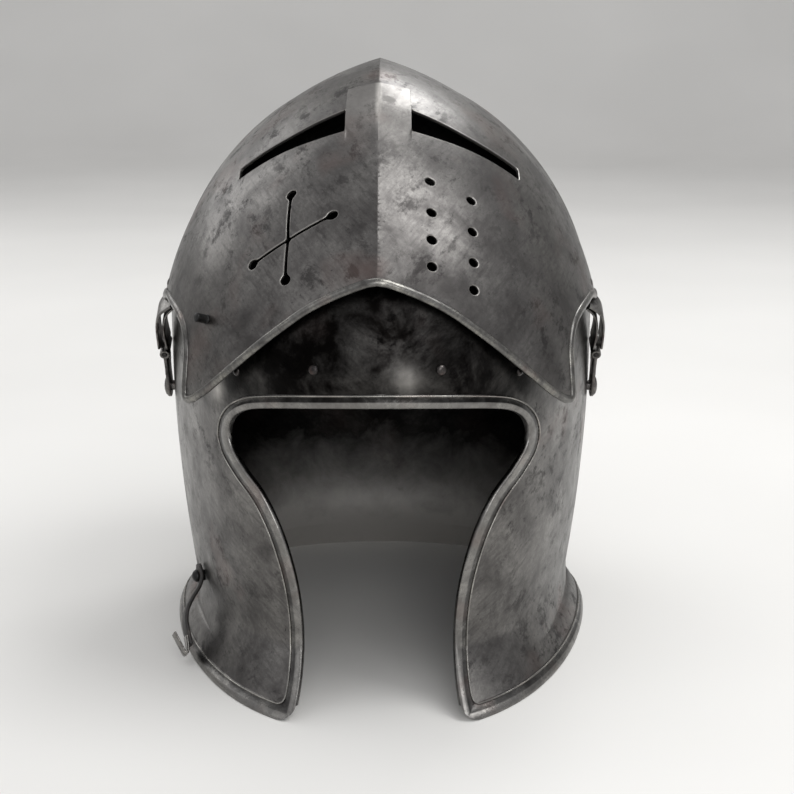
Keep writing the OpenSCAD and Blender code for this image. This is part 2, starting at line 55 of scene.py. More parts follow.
# Camera at the photograph's angle, made first.
viewpoint = {"place": (0.008, -0.7689, 0.3046), "pitch": 75.9, "lens": 73.3}
cameraData = bpy.data.cameras.new("photoCamera")
cameraData.lens, cameraData.sensor_width = viewpoint["lens"], 36
camera = added("photoCamera", cameraData)
camera.location = viewpoint["place"]
camera.rotation_euler = (math.radians(viewpoint["pitch"]), 0, 0)
bpy.context.scene.camera = camera
bpy.context.scene.view_settings.view_transform = "Standard"


def fromHex(code):
    parts = [int(code[i:i + 2], 16) / 255 for i in (1, 3, 5)]
    return [*(p / 12.92 if p <= 0.04045 else ((p + 0.055) / 1.055) ** 2.4 for p in parts), 1]


def addNode(tree, kind, inputs=None, stops=None, **settings):
    node = tree.nodes.new(kind)
    for key, value in settings.items():
        setattr(node, key, value)
    for key, value in (inputs or {}).items():
        if isinstance(value, bpy.types.NodeSocket):
            tree.links.new(value, node.inputs[key])
        else:
            node.inputs[key].default_value = value
    for i, (at, code) in enumerate(stops or []):
        ramp = node.color_ramp.elements
        stop = ramp[i] if i < 2 else ramp.new(at)
        stop.position, stop.color = at, fromHex(code)
    return node


def perMm(size):  # noise scale for features of this size, on Object coordinates
    return 1000 / size


def startMaterial(name):
    material = bpy.data.materials.new(name)
    material.use_nodes = True
    tree = material.node_tree
    tree.nodes.clear()
    return material, tree, addNode(tree, "ShaderNodeTexCoord").outputs["Object"]


def finishMaterial(material, inputs):
    surface = addNode(material.node_tree, "ShaderNodeBsdfPrincipled", inputs)
    addNode(material.node_tree, "ShaderNodeOutputMaterial", {0: surface.outputs[0]})
    return material


# Forged steel: hammered by hand, filed and left to darken. It shows cloudy grey patches,
# slanting marks from the file, faint brown bloom, shallow pits and soft wavy highlights.
def forgedSteel(name, look):
    material, tree, spot = startMaterial(name)
    # the marks lean alike on both sides, but neither side repeats the other
    part = addNode(tree, "ShaderNodeSeparateXYZ", {0: spot})
    fold = addNode(tree, "ShaderNodeMath", {0: part.outputs[0]}, operation="ABSOLUTE")
    hand = addNode(tree, "ShaderNodeMath", {0: part.outputs[0]}, operation="SIGN")
    apart = addNode(tree, "ShaderNodeMath", {0: hand.outputs[0], 1: 0.4, 2: part.outputs[1]},
                    operation="MULTIPLY_ADD")
    mirrored = addNode(tree, "ShaderNodeCombineXYZ",
                       {0: fold.outputs[0], 1: apart.outputs[0], 2: part.outputs[2]})
    slant = addNode(tree, "ShaderNodeMapping", {
        0: mirrored.outputs[0], "Rotation": (0, math.radians(look["fileTurn"]), 0)})
    filed, drawn = (addNode(tree, "ShaderNodeMapping", {
        0: slant.outputs[0], "Scale": (perMm(long), perMm(long), perMm(wide))}).outputs[0]
        for long, wide in (look["file"], look["drawn"]))
    noise, amount = {}, {}
    for label, vector, scale, detail, rough, bent in (
            ("marks", filed, 1, 4, 0.62, 0), ("grain", filed, 3.2, 3, 0.7, 0),
            ("clouds", spot, perMm(look["cloud"]), 7, 0.66, 0.3),
            ("stains", drawn, 1, 11, 0.78, 0.12), ("flecks", drawn, 5.5, 5, 0.8, 0),
            ("groups", spot, perMm(look["cloud"] * 1.5), 3, 0.55, 0),
            ("bloom", spot, perMm(look["cloud"] * 1.6), 3, 0.5, 0),
            ("pits", spot, perMm(1.6), 3, 0.7, 0),  # real pits are finer
            ("hammer", spot, perMm(look["hammer"]), 1.5, 0.4, 0)):
        noise[label] = addNode(tree, "ShaderNodeTexNoise", {
            0: vector, "Scale": scale, "Detail": detail, "Roughness": rough,
            "Distortion": bent}).outputs[0]
    noise["height"] = addNode(tree, "ShaderNodeMath", {  # metres, with a ragged edge
        0: noise["clouds"], 1: 0.055, 2: part.outputs[2]}, operation="MULTIPLY_ADD").outputs[0]
    # where in its noise each begins and ends, and how much of it shows at either
    for label, source, begin, end, before, after in (
            ("marks", "marks", 0.5, 0.66, 0, look["fileShow"]),
            ("flecks", "flecks", 0.42, 0.66, look["fleckShow"], 0),
            ("groups", "groups", 0.38, 0.6, 0.25, look["stainShow"]),
            ("stains", "stains", 0.52, 0.6, 0, "groups"),
            ("bloom", "bloom", 0.56, 0.74, 0, look["bloomShow"]),
            ("pits", "pits", 0.36, 0.27, 0, look["pitShow"]),
            ("patchy", "clouds", 0.42, 0.66, 1.0, 0.72),
            ("low", "height", 0.091, 0.047, 0, look["paintedLightLow"]),
            ("smooth", "clouds", 0.3, 0.7, look["rough"][1], look["rough"][0])):
        amount[label] = addNode(tree, "ShaderNodeMapRange", {
            0: noise[source], 1: begin, 2: end, 3: before,
            4: amount.get(after, after)}).outputs[0]
    # per point: a worn colour for real wear and for painted highlights, and painted shade with
    # patina
    for label in ("wearAndHighlight", "paintedShadeAndPatina"):
        amount[label] = addNode(tree, "ShaderNodeAttribute", attribute_name=label).outputs["Fac"]
    # painted shade with patina, multiplied in where the attribute asks for it, broken up by the
    # clouds
    amount["paintedShadeShare"] = addNode(tree, "ShaderNodeMath", {
        0: amount["paintedShadeAndPatina"], 1: amount["patchy"]}, operation="MULTIPLY").outputs[0]
    shade = addNode(tree, "ShaderNodeValToRGB", {0: noise["clouds"]}, stops=[
        (0.34, look["dark"]), (0.66, look["light"]), (0.5, look["middle"])]).outputs[0]
    for label, colour in (("marks", "fileTone"), ("flecks", "dark"), ("stains", "stain"),
                          ("bloom", "bloom"), ("pits", "pit"), ("wearAndHighlight", "wornAndHighlightTone"),
                          ("paintedShadeShare", "paintedShadeAndPatina"), ("low", "low")):
        shade = addNode(tree, "ShaderNodeMix", {
            0: amount[label], 6: shade, 7: fromHex(look[colour])}, data_type="RGBA",
            blend_type="MULTIPLY" if label == "paintedShadeShare" else "MIX").outputs[2]
    rougher = addNode(tree, "ShaderNodeMath", {
        0: amount["stains"], 1: 0.22, 2: amount["smooth"]}, operation="MULTIPLY_ADD")
    relief = {}
    for label, distance, depth in (("hammer", 0.0011, "hammerDepth"),
                                   ("grain", 0.00012, "fileDepth"), ("pits", 0.00016, "pitDepth")):
        relief["Normal"] = addNode(tree, "ShaderNodeBump", {
            "Height": noise[label], "Distance": distance, "Strength": look[depth],
            **relief}).outputs[0]
    # low down inside: a paler colour painted as light, and less metal showing under a dull skin of
    # oxide and dust
    bare = addNode(tree, "ShaderNodeMapRange", {0: amount["low"], 3: 1.0, 4: 0.2})
    return finishMaterial(material, {"Base Color": shade, "Metallic": bare.outputs[0],
                                     "Roughness": rougher.outputs[0], **relief})


steelLook = {
    "dark": "#4b4948", "middle": "#6c6a68", "light": "#82807d", "wornAndHighlightTone": "#b9b6b1",
    "fileTone": "#4b4948", "fileShow": 0.5, "fileTurn": 38, "file": (13, 1.7),
    "drawn": (13, 8.5), "stain": "#2f2d2d", "stainShow": 0.85, "fleckShow": 0.45,
    "bloom": "#846b64", "bloomShow": 0.3, "pit": "#2f2d2f", "pitShow": 0.75, "cloud": 22,
    # below: the colour of painted shade with patina, then how much of, and which, paler colour is
    # painted as light low down inside
    "paintedShadeAndPatina": "#343231", "paintedLightLow": 0.0, "low": "#b4b1ad",
    "rough": (0.28, 0.42), "hammer": 26, "hammerDepth": 0.22, "fileDepth": 0.3, "pitDepth": 0.4,
}
steelChanges = {  # what sets each of the other steels apart from the skull's
    "forgedSteelSkull": {},
    "forgedSteelFacePlate": {"cloud": 26, "fileTurn": 42},
    # the inside was never polished: rougher, and bare of the brown bloom
    "roughSteelInside": {
        "dark": "#181717", "middle": "#2a2928", "light": "#474543", "fileShow": 0.2,
        # paler low down, as painted light
        "rough": (0.5, 0.62), "pitShow": 0.5, "bloomShow": 0.1, "paintedLightLow": 0.92},
    # a darker copy of the rivet steel, as painted shade of the raised plate
    "darkSteelLiningRivet": {
        "dark": "#2e2c2c", "middle": "#444140", "light": "#5c5856", "cloud": 5,
        "hammer": 3, "hammerDepth": 0.2, "rough": (0.26, 0.4)},
    # edges handled every day are rubbed brighter and smoother
    "rubbedSteelBand": {
        "middle": "#767573", "light": "#94928e", "cloud": 14, "rough": (0.22, 0.34),
        "fileShow": 0.25, "stainShow": 0.45, "hammer": 14, "hammerDepth": 0.25},
    "rubbedSteelRoll": {
        "middle": "#7a7976", "light": "#98968f", "cloud": 12, "rough": (0.22, 0.36),
        "fileShow": 0.25, "stainShow": 0.45, "hammer": 12, "hammerDepth": 0.2},
    "rubbedSteelRidge": {
        "dark": "#6f6d6a", "middle": "#8e8c88", "light": "#b2afa9", "cloud": 16,
        "rough": (0.2, 0.32), "fileShow": 0.15, "stainShow": 0.35, "fleckShow": 0.2},
    "forgedSteelHinge": {
        "middle": "#807e7b", "light": "#9b9995", "cloud": 12, "hammer": 10,
        "hammerDepth": 0.25},
    "hammeredSteelRivet": {"cloud": 5, "hammer": 3, "hammerDepth": 0.2, "rough": (0.24, 0.38)},
    "darkIronPin": {
        "dark": "#2b2a2b", "middle": "#3c3b3b", "light": "#514f4e", "cloud": 6,
        "hammer": 5, "rough": (0.4, 0.55)},
    "brightSteelHook": {
        "dark": "#6f6d6a", "middle": "#8f8d89", "light": "#b0aea9", "cloud": 7,
        "hammer": 6, "fileShow": 0.2, "bloomShow": 0.1, "rough": (0.2, 0.32)},
}
(helmetSteel, plateSteel, innerSteel, liningSteel, bandSteel, rollSteel, ridgeSteel, hingeSteel,
 rivetSteel, pinIron, hookSteel) = (forgedSteel(name, {**steelLook, **change})
                                    for name, change in steelChanges.items())


# Iron blackened in oil at the forge: a thin matt skin, worn to grey on its high spots.
def blackenedIron(name):
    material, tree, spot = startMaterial(name)
    skin = addNode(tree, "ShaderNodeTexNoise", {
        0: spot, "Scale": perMm(1.8), "Detail": 5, "Roughness": 0.65}).outputs[0]
    tone = addNode(tree, "ShaderNodeValToRGB", {0: skin}, stops=[
        (0.4, "#070707"), (0.75, "#2a2928"), (0.6, "#0e0e0e")])
    gloss = addNode(tree, "ShaderNodeMapRange", {0: skin, 1: 0.3, 2: 0.7, 3: 0.34, 4: 0.5})
    bump = addNode(tree, "ShaderNodeBump", {"Height": skin, "Distance": 0.0002, "Strength": 0.4})
    return finishMaterial(material, {
        "Base Color": tone.outputs[0], "Metallic": 0.35, "Roughness": gloss.outputs[0],
        "Normal": bump.outputs[0]})


# Vegetable tanned leather, dyed black and waxed: fine pores, creases across, brown where rubbed.
def waxedLeather(name):
    material, tree, spot = startMaterial(name)
    pores = addNode(tree, "ShaderNodeTexVoronoi", {
        0: spot, "Scale": perMm(0.9), "Randomness": 1})  # pores are finer than this
    across = addNode(tree, "ShaderNodeMapping", {
        0: spot, "Scale": (perMm(9), perMm(9), perMm(1.3))})
    creases = addNode(tree, "ShaderNodeTexNoise", {
        0: across.outputs[0], "Scale": 1, "Detail": 4, "Roughness": 0.6})
    rubbedAndLit = addNode(tree, "ShaderNodeTexNoise", {
        0: spot, "Scale": perMm(5), "Detail": 4, "Roughness": 0.6}).outputs[0]
    tone = addNode(tree, "ShaderNodeValToRGB", {0: rubbedAndLit}, stops=[
        (0.42, "#1a1817"), (0.72, "#4a4440"), (0.58, "#2a2725")])
    shallow = addNode(tree, "ShaderNodeBump", {
        "Height": pores.outputs[0], "Distance": 0.00012, "Strength": 0.5})
    creased = addNode(tree, "ShaderNodeBump", {
        "Height": creases.outputs[0], "Distance": 0.0004, "Strength": 0.5,
        "Normal": shallow.outputs[0]})
    wax = addNode(tree, "ShaderNodeMapRange", {0: rubbedAndLit, 1: 0.3, 2: 0.7, 3: 0.42, 4: 0.6})
    return finishMaterial(material, {
        "Base Color": tone.outputs[0], "Roughness": wax.outputs[0], "IOR": 1.48,
        "Normal": creased.outputs[0]})


blackIron = blackenedIron("blackenedIron")
strapLeather = waxedLeather("waxedStrapLeather")
print("materials made")


# Meshes are worked out in the drawn frame, in mm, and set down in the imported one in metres.
def meshObject(name, points, faces, materials, faceMaterial=None, edges=()):
    mesh = bpy.data.meshes.new(name)
    spots = (np.asarray(points, float) + (0, foreShift, 0)) / 1000
    mesh.from_pydata(spots.tolist(), list(edges), [list(map(int, f)) for f in faces])
    for material in materials:
        mesh.materials.append(material)
    if faceMaterial is not None:
        mesh.polygons.foreach_set("material_index", np.asarray(faceMaterial, np.int32))
    return added(name, mesh)


def smoothByAngle(mesh, degrees=35, weld=0.0):
    work = bmesh.new()
    work.from_mesh(mesh)
    if weld:
        bmesh.ops.remove_doubles(work, verts=work.verts, dist=weld)
        bmesh.ops.dissolve_degenerate(work, dist=weld, edges=work.edges)
        bmesh.ops.recalc_face_normals(work, faces=work.faces)
    for edge in work.edges:
        edge.smooth = edge.calc_face_angle(0) < math.radians(degrees)
    for face in work.faces:
        face.smooth = True
    work.to_mesh(mesh)
    work.free()


def paint(piece, label, values):  # a share at each point, which the steels read
    piece.data.attributes.new(label, "FLOAT", "POINT").data.foreach_set("value", values)


def baked(piece):  # a plain mesh of the piece with its modifiers done and taken off
    graph = bpy.context.evaluated_depsgraph_get()
    mesh = bpy.data.meshes.new_from_object(piece.evaluated_get(graph), depsgraph=graph)
    piece.modifiers.clear()
    piece.data = mesh
    mesh.name = piece.name
    return piece


def settle(piece, body, slotName, *nodes):  # its body and what it stands for; its finish is not used
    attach(piece, body)
    if nodes:
        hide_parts(*nodes)
    return piece


def sweepFaces(rows, across, ends=True):
    faces = [(i * across + j, i * across + (j + 1) % across,
              (i + 1) * across + (j + 1) % across, (i + 1) * across + j)
             for i in range(rows - 1) for j in range(across)]
    if ends:
        faces += [list(range(across))[::-1],
                  list(range((rows - 1) * across, rows * across))]
    return faces


def swept(name, rings, material, degrees=50, weld=1e-8, ends=True):
    rings = np.asarray(rings)
    piece = meshObject(name, rings.reshape(-1, 3), sweepFaces(*rings.shape[:2], ends), [material])
    smoothByAngle(piece.data, degrees, weld)
    return piece


def unit(v):
    v = np.asarray(v, float)
    return v / np.maximum(np.linalg.norm(v, axis=-1, keepdims=True), 1e-12)


def gentle(share):  # eases in and out between 0 and 1
    return share * share * (3 - 2 * share)


def easyCurve(p, steps):  # a smooth run through a few corner points
    p = np.asarray(p, float)
    line = []
    for i in range(len(p) - 1):
        a, b, c, d = p[max(0, i - 1)], p[i], p[i + 1], p[min(len(p) - 1, i + 2)]
        for t in np.arange(0, 1, 1 / steps):
            line.append(0.5 * (2 * b + (c - a) * t + (2 * a - 5 * b + 4 * c - d) * t * t
                               + (3 * b - a - 3 * c + d) * t ** 3))
    return np.array(line + [p[-1]])


def shifted(p, by, closed=False):  # to the left of the way the line runs
    ahead = np.roll(p, -1, 0) if closed else np.vstack([p[1:], p[-1:]])
    behind = np.roll(p, 1, 0) if closed else np.vstack([p[:1], p[:-1]])
    way = unit(ahead - behind)
    return p + by * np.stack([-way[:, 1], way[:, 0]], 1)


def respread(p, old, new):  # the same line with its points at other places along it
    return np.stack([np.interp(new, old, p[:, k]) for k in range(p.shape[1])], 1)


def evenly(p, gap):  # points the same distance apart along a line
    step = np.r_[0, np.cumsum(np.linalg.norm(np.diff(p, axis=0), axis=1))]
    return respread(p, step, np.linspace(0, step[-1], max(2, int(round(step[-1] / gap)) + 1)))


# Skull of the helmet, in mm and in powers of its ovals
skull = {
    "halfWidth": 106.5, "widest": 150, "height": 266.5, "neckHalf": 95, "neck": 25,
    "crease": 13, "flare": 8.2, "flarePower": 0.6, "nape": 8, "front": 186, "back": 80,
    "keel": 0.06, "plate": 2.0, "sidePower": 2.5, "frontPower": 1.65, "backPower": 2.15,
    "domePower": 1.8, "frontDome": 1.7, "backDome": 0.55, "rings": (14, 8, 44, 46),
    "around": 256,
    # under the widest level: how deep it narrows, how far in, and how far out at the rim
    "depth": 125, "frontIn": 43, "frontOut": 20, "backOut": 43.3, "backIn": 52.6, "napeOut": 16,
    # how far over the neck each flare starts, and its power; then where the side begins
    "flareEase": (6, 1.7), "frontEase": (9, 1.55), "napeEase": (14, 2), "sideFrom": (0.72, 0.2),
    # its middle line: at the floor, how far it leans back on the way up, and forward again
    "middle": (12, 32, 12), "middlePower": 1.6,
    # painted highlights and reflections on the brow: x, height over the lip, half width, half
    # height, how far
    "paintedHighlights": [(-70, 3.5, 3, 5, 0.95), (12, 7, 6, 6, 0.5)], "highlightClearsShade": 0.8,
    # the brow darkened as painted shade of the raised plate, with the patina of steel never rubbed
    # bright: half width, foot and rear end, each with its fade
    "shadedBrow": [(84, 20), (-7, 6), (-30, 55)],
}


def risen(z, inset=0.0):  # 0 at the widest level, 1 at the top
    return np.clip((z - skull["widest"]) / (skull["height"] - inset - skull["widest"]), 0, 1)


def joined(z, top, low, inset):  # dome and walls, drawn in by the plate's thickness
    return np.maximum(0.01, np.where(z > skull["widest"], top, low) - inset)


def flaring(z, over, power, most=1):  # 0 above the neck, growing down to the floor
    return np.clip(1 - z / (skull["neck"] + over), 0, most) ** power


def levelWidth(z, inset=0.0, share=1.0):  # share: how far out to the side, 0 at the keel
    z = np.asarray(z, float)
    up = np.clip((z - skull["neck"]) / (skull["widest"] - skull["neck"]), 0, 1)
    begin, over = skull["sideFrom"]
    side = gentle(np.clip((np.asarray(share, float) - begin) / over, 0, 1))
    sharp = np.clip(1 - z / skull["crease"], 0, 1) ** skull["flarePower"]
    easy = flaring(z, *skull["flareEase"])
    low = (skull["halfWidth"] - (skull["halfWidth"] - skull["neckHalf"]) * (1 - up) ** 2
           + skull["flare"] * (side * sharp + (1 - side) * easy))
    power = skull["domePower"]
    top = skull["halfWidth"] * (1 - risen(z, inset) ** power) ** (1 / power)
    return joined(z, top, low, inset)


def levelMiddle(z):
    z = np.asarray(z, float)
    foot, lean, back = skull["middle"]
    return np.where(z <= skull["widest"], foot + lean * z / skull["widest"],
                    foot + lean - back * risen(z) ** skull["middlePower"])


def levelFront(z, inset=0.0):
    z = np.asarray(z, float)
    low = (skull["front"]
           - skull["frontIn"] * np.clip((skull["widest"] - z) / skull["depth"], 0, 1)
           + skull["frontOut"] * flaring(z, *skull["frontEase"]))
    top = skull["front"] * np.sqrt(1 - risen(z, inset) ** skull["frontDome"])
    return joined(z, top, low, inset)


# The back below its widest level, with the crease at the neck rounded off
backLevels = np.arange(-60, skull["widest"] + 60, 0.5)
backDown = np.clip((skull["widest"] - backLevels) / skull["depth"], 0, 1)
backRun = (skull["back"] + skull["backOut"] * backDown - skull["backIn"] * backDown ** 2
           + skull["napeOut"] * flaring(backLevels, *skull["napeEase"], 3))
blur = np.exp(-(np.arange(-30, 30.5, 0.5) / skull["nape"]) ** 2 / 2)
backRun = np.convolve(backRun, blur / blur.sum(), "same")


def levelBack(z, inset=0.0):
    z = np.asarray(z, float)
    top = (np.interp(skull["widest"], backLevels, backRun)
           * (1 - risen(z, inset) ** 2) ** skull["backDome"])
    return joined(z, top, np.interp(z, backLevels, backRun), inset)


def keeled(t, r):  # draws the round front out to a keel
    return (1 - skull["keel"]) * t + skull["keel"] * (1 - r)


def skullPoint(z, a, inset=0.0):
    z, a = np.broadcast_arrays(np.asarray(z, float), np.radians(np.asarray(a, float)))
    c, s = np.cos(a), np.sin(a)
    front = s >= 0
    side, fore, aft = (2 / skull[power] for power in ("sidePower", "frontPower", "backPower"))
    w = levelWidth(z, inset, np.where(front, np.abs(c) ** side, 1.0))
    x = w * np.sign(c) * np.abs(c) ** np.where(front, side, aft)
    y = levelMiddle(z) + np.where(
        front, -levelFront(z, inset) * keeled(np.abs(s) ** fore, np.abs(x) / w),
        levelBack(z, inset) * np.abs(s) ** aft)
    return np.stack([x, y, z], -1)


def frontY(x, z):  # the front of the skull; its width depends a little on x itself
    r = np.minimum(1, np.abs(x) / levelWidth(z))
    for _ in range(5):
        r = np.minimum(1, np.abs(x) / levelWidth(z, 0, r))
    return levelMiddle(z) - levelFront(z) * keeled(
        (1 - r ** skull["sidePower"]) ** (1 / skull["frontPower"]), r)


# Straight into the face: how far that line of sight looks down, and where its plane is hung
tilt, faceBack, faceHeight = math.radians(14.1), -1.5, 109.7


def upFace(points):  # how high a point lies, seen straight into the face
    return ((points[:, 2] - faceHeight) * math.cos(tilt)
            + (points[:, 1] - faceBack) * math.sin(tilt))


def onFront(p):  # where a line of sight into the face meets the front of the skull
    x, up = p[..., 0], p[..., 1]
    y = np.full_like(x, -120.0)
    for _ in range(14):
        z = faceHeight + up / math.cos(tilt) - (y - faceBack) * math.tan(tilt)
        y = frontY(x, z)
    return np.stack([x, y, z], -1)


def lifted(p, by):  # the same, raised off the plate
    here = onFront(p)
    out = unit(np.cross(onFront(p + (0.3, 0)) - here, onFront(p + (0, 0.3)) - here))
    return here + by * out


# Outline of the face opening, seen straight into the face
opening = {
    "half": [(0, -4.5), (25, -4.5), (48, -4.5), (57, -5.6), (63, -9), (65.6, -15),
             (64.2, -22), (58.5, -31), (50, -42), (43, -56), (38.6, -69), (35.6, -82),
             (34, -95), (33.6, -108), (34, -120), (35.4, -131), (38, -142), (41.6, -155)],
    # how far out from the edge, and how high over the plate, once round the band
    "band": [(0.6, -2.15), (-0.1, -2.1), (-0.35, -1.6), (-0.4, -0.3), (-0.3, 0.35),
             (0.0, 0.72), (0.5, 0.86), (1.4, 0.88), (2.3, 0.84), (2.6, 0.74), (3.3, 0.38),
             (4.2, 0.24), (5.2, 0.22), (5.5, 0.05), (5.55, -0.4), (3.0, -0.8), (1.2, -0.9)],
    # the cheek tips are rounded off along this line, seen straight into the face
    "tip": [(28, -133), (35.6, -133), (36.3, -134.8), (37.6, -136.4), (39.4, -137.6),
            (41.6, -138.4), (44, -138.9), (50, -140.5), (50, -165), (28, -165)],
    "below": (41.6, -219),  # the cut goes on down to here
    # dark: how much painted shade lies on the band outside its lip
    "endPoints": 30, "lip": (-0.32, 2.45), "lipWear": 0.16, "dark": 0.9,
    "ridge": {"out": 4.9, "radius": 0.42, "lift": 0.36, "turn": 3.4, "points": 560},
}
openingLine = evenly(easyCurve(opening["half"], 12), 1.1)
openingLine = np.vstack([openingLine[:0:-1] * (-1, 1), openingLine])
tips = [np.array(opening["tip"], float) * (side, 1) for side in (1, -1)]


def cutStraightIn(piece, outlines, deep=260.0):  # cuts outlines drawn straight into the face
    c, s = math.cos(tilt), math.sin(tilt)
    points, faces = [], []
    for outline in outlines:
        base, m = len(points), len(outline)
        for d in (0.0, -deep):
            points += np.stack([outline[:, 0], d * c + outline[:, 1] * s + faceBack,
                                outline[:, 1] * c - d * s + faceHeight], 1).tolist()
        tiles = geometry.tessellate_polygon([[Vector((*p, 0)) for p in outline]])
        faces += [tuple(base + k for k in t) for t in tiles]
        faces += [tuple(base + m + k for k in t[::-1]) for t in tiles]
        faces += [(base + k, base + (k + 1) % m, base + m + (k + 1) % m, base + m + k)
                  for k in range(m)]
    cutter = meshObject("cutter", points, faces, [innerSteel])
    smoothByAngle(cutter.data, 35, 1e-7)
    cut = piece.modifiers.new("cut", "BOOLEAN")
    cut.object, cut.operation, cut.solver = cutter, "DIFFERENCE", "EXACT"
    baked(piece)
    bpy.data.objects.remove(cutter)


def makeSkull():
    low, neck, side, top = skull["rings"]
    widest, plate = skull["widest"], skull["plate"]
    dome = skull["height"] - widest
    levels = np.concatenate([
        skull["crease"] * (1 - np.linspace(1, 0, low) ** (1 / skull["flarePower"])),
        np.linspace(skull["crease"], skull["neck"], neck + 1)[1:],
        np.linspace(skull["neck"], widest, side + 1)[1:],
        widest + dome * np.sin(np.radians(np.linspace(0, 90, top + 1)[1:-1]))])
    n, rows = skull["around"], len(levels)
    around = np.arange(n) * 360 / n
    under = np.where(levels > widest, widest + (levels - widest) * ((dome - plate) / dome), levels)
    outer = skullPoint(levels[:, None], around[None, :]).reshape(-1, 3)
    inner = skullPoint(under[:, None], around[None, :], plate).reshape(-1, 3)
    half, last = rows * n, (rows - 1) * n
    caps = [(0, float(levelMiddle(skull["height"])), skull["height"] - down)
            for down in (0, plate)]
    faces, inside = [], []
    for i in range(rows - 1):
        for j in range(n):
            a, b = i * n + j, i * n + (j + 1) % n
            faces += [(a, a + n, b + n, b), (half + a, half + b, half + b + n, half + a + n)]
            inside += [0, 1]
    for a in range(n):
        b = (a + 1) % n
        faces += [(a, b, half + b, half + a), (last + a, 2 * half, last + b),
                  (half + last + a, half + last + b, 2 * half + 1)]
        inside += [0, 0, 1]
    piece = meshObject("helmetSkull", np.vstack([outer, inner, caps]), faces,
                       [helmetSteel, innerSteel], inside)
    wide, down = opening["below"]
    cutStraightIn(piece, [np.vstack([[(-wide, down)], openingLine, [(wide, down)]])])
    cutStraightIn(piece, tips)
    # Steel above the brow is darkened: painted shade of the raised plate over it, with the patina
    # of steel never rubbed bright.
    points = np.array([v.co for v in piece.data.vertices]) * 1000 - (0, foreShift, 0)
    x, up = points[:, 0], upFace(points)
    (wideTo, wideFade), (foot, footFade), (rear, rearFade) = skull["shadedBrow"]
    paintedShadeShare = (np.clip((wideTo - np.abs(x)) / wideFade, 0, 1)
               * np.clip((up - foot) / footFade, 0, 1)
               * np.clip((rear - points[:, 1]) / rearFade, 0, 1))
    highlightShare = 0
    # each bright patch is a painted highlight, and it thins the painted shade round it
    for spotX, spotUp, wide, tall, highlightStrength in skull["paintedHighlights"]:
        near = ((points[:, 1] < 20)  # the front half alone
                * np.exp(-((x - spotX) / wide) ** 2 - ((up - spotUp) / tall) ** 2))
        paintedShadeShare = paintedShadeShare * (1 - skull["highlightClearsShade"] * near)
        highlightShare = highlightShare + highlightStrength * near
    paint(piece, "paintedShadeAndPatina", paintedShadeShare)
    paint(piece, "wearAndHighlight", highlightShare)
    smoothByAngle(piece.data, 33, 1e-6)
    settle(piece, "helmet", "helmet_steel", "skull_left", "skull_right")


makeSkull()
print("skull made")


def finishBand(name, node, columns, floor, dark, rubbedAndLit, plateShadeFade=False):
    rings = np.stack(columns, 1)
    rings[..., 2] = np.maximum(rings[..., 2], floor)
    points = rings.reshape(-1, 3)
    piece = meshObject(name, points, sweepFaces(*rings.shape[:2]), [bandSteel])
    # painted shade on the band beyond its lip
    dark = np.tile(dark, len(rings))
    if plateShadeFade:  # painted shade, darkest over the brow, where the raised plate covers it
        dark = dark * np.clip((upFace(points) + 14) / 8, 0.45, 1)
    paint(piece, "paintedShadeAndPatina", dark)
    paint(piece, "wearAndHighlight", np.tile(rubbedAndLit, len(rings)))
    cutStraightIn(piece, tips)
    smoothByAngle(piece.data, 50, 1e-8)
    settle(piece, "helmet", "worn_edge_steel", node)


def makeOpeningBand():
    paths = [shifted(openingLine, out) for out, _ in opening["band"]]
    spans = []
    for path in paths:
        over = np.nonzero(onFront(path)[:, 2] > 0.2)[0]  # the points above the floor
        spans.append((over[0], over[-1]))
    first, last = max(a for a, _ in spans) + 6, min(b for _, b in spans) - 6
    columns = []
    for path, (a, b), (_, high) in zip(paths, spans, opening["band"]):
        # the two ends of each line are spread anew, so that all reach the rim together
        tail, head = (
            respread(end, np.linspace(0, 1, len(end)), np.linspace(0, 1, opening["endPoints"]))
            for end in (evenly(path[a:first + 1], 0.5), evenly(path[last:b + 1], 0.5)))
        columns.append(lifted(np.vstack([tail[:-1], path[first:last], head]), high))
    lipFrom, lipTo = opening["lip"]
    finishBand("openingBand", "opening_band", columns, 0.05,
               [opening["dark"] * (out > lipTo) for out, _ in opening["band"]],
               [opening["lipWear"] * (lipFrom < out < lipTo) for out, _ in opening["band"]], True)


rim = {  # height over the floor, and how far out from the plate, once round the band
    "band": [(0.35, -2.1), (0.02, -1.5), (0.0, -0.2), (0.08, 0.45), (0.5, 0.8), (1.4, 0.88),
             (2.4, 0.84), (2.8, 0.72), (3.4, 0.38), (4.3, 0.24), (5.2, 0.22), (5.5, 0.05),
             (5.55, -0.6), (3.0, -1.0), (1.2, -1.2)],
    # dark: how much painted shade lies on the band above its lip
    "around": 360, "lip": (0, 2.45), "lipWear": 0.16, "dark": 0.5,
}


def roundBack(z, edgeX, count):  # from cheek to cheek at one level, and the way outwards
    share = edgeX / float(levelWidth(z, 0, 0.4))
    corner = math.degrees(math.acos(share ** (skull["sidePower"] / 2)))
    a = np.linspace(corner, -180 - corner, count)
    here = skullPoint(z, a)
    along = skullPoint(z, a + 0.5) - skullPoint(z, a - 0.5)
    return here, unit(np.cross(skullPoint(z + 0.3, a) - here, along))


def makeRimBand():
    right = onFront(openingLine)[len(openingLine) // 2:]
    right = right[np.argsort(right[:, 2])]
    columns = []
    for z, out in rim["band"]:
        here, outward = roundBack(z, np.interp(max(z, 0.2), right[:, 2], right[:, 0]),
                                  rim["around"])
        columns.append(here + out * outward)
    lipFrom, lipTo = rim["lip"]
    finishBand("rimBand", "rim_band", columns, 0.0,
               [rim["dark"] * (z > lipTo) for z, _ in rim["band"]],
               [rim["lipWear"] * (lipFrom < z < lipTo) for z, _ in rim["band"]])


makeOpeningBand()
makeRimBand()
print("bands made")


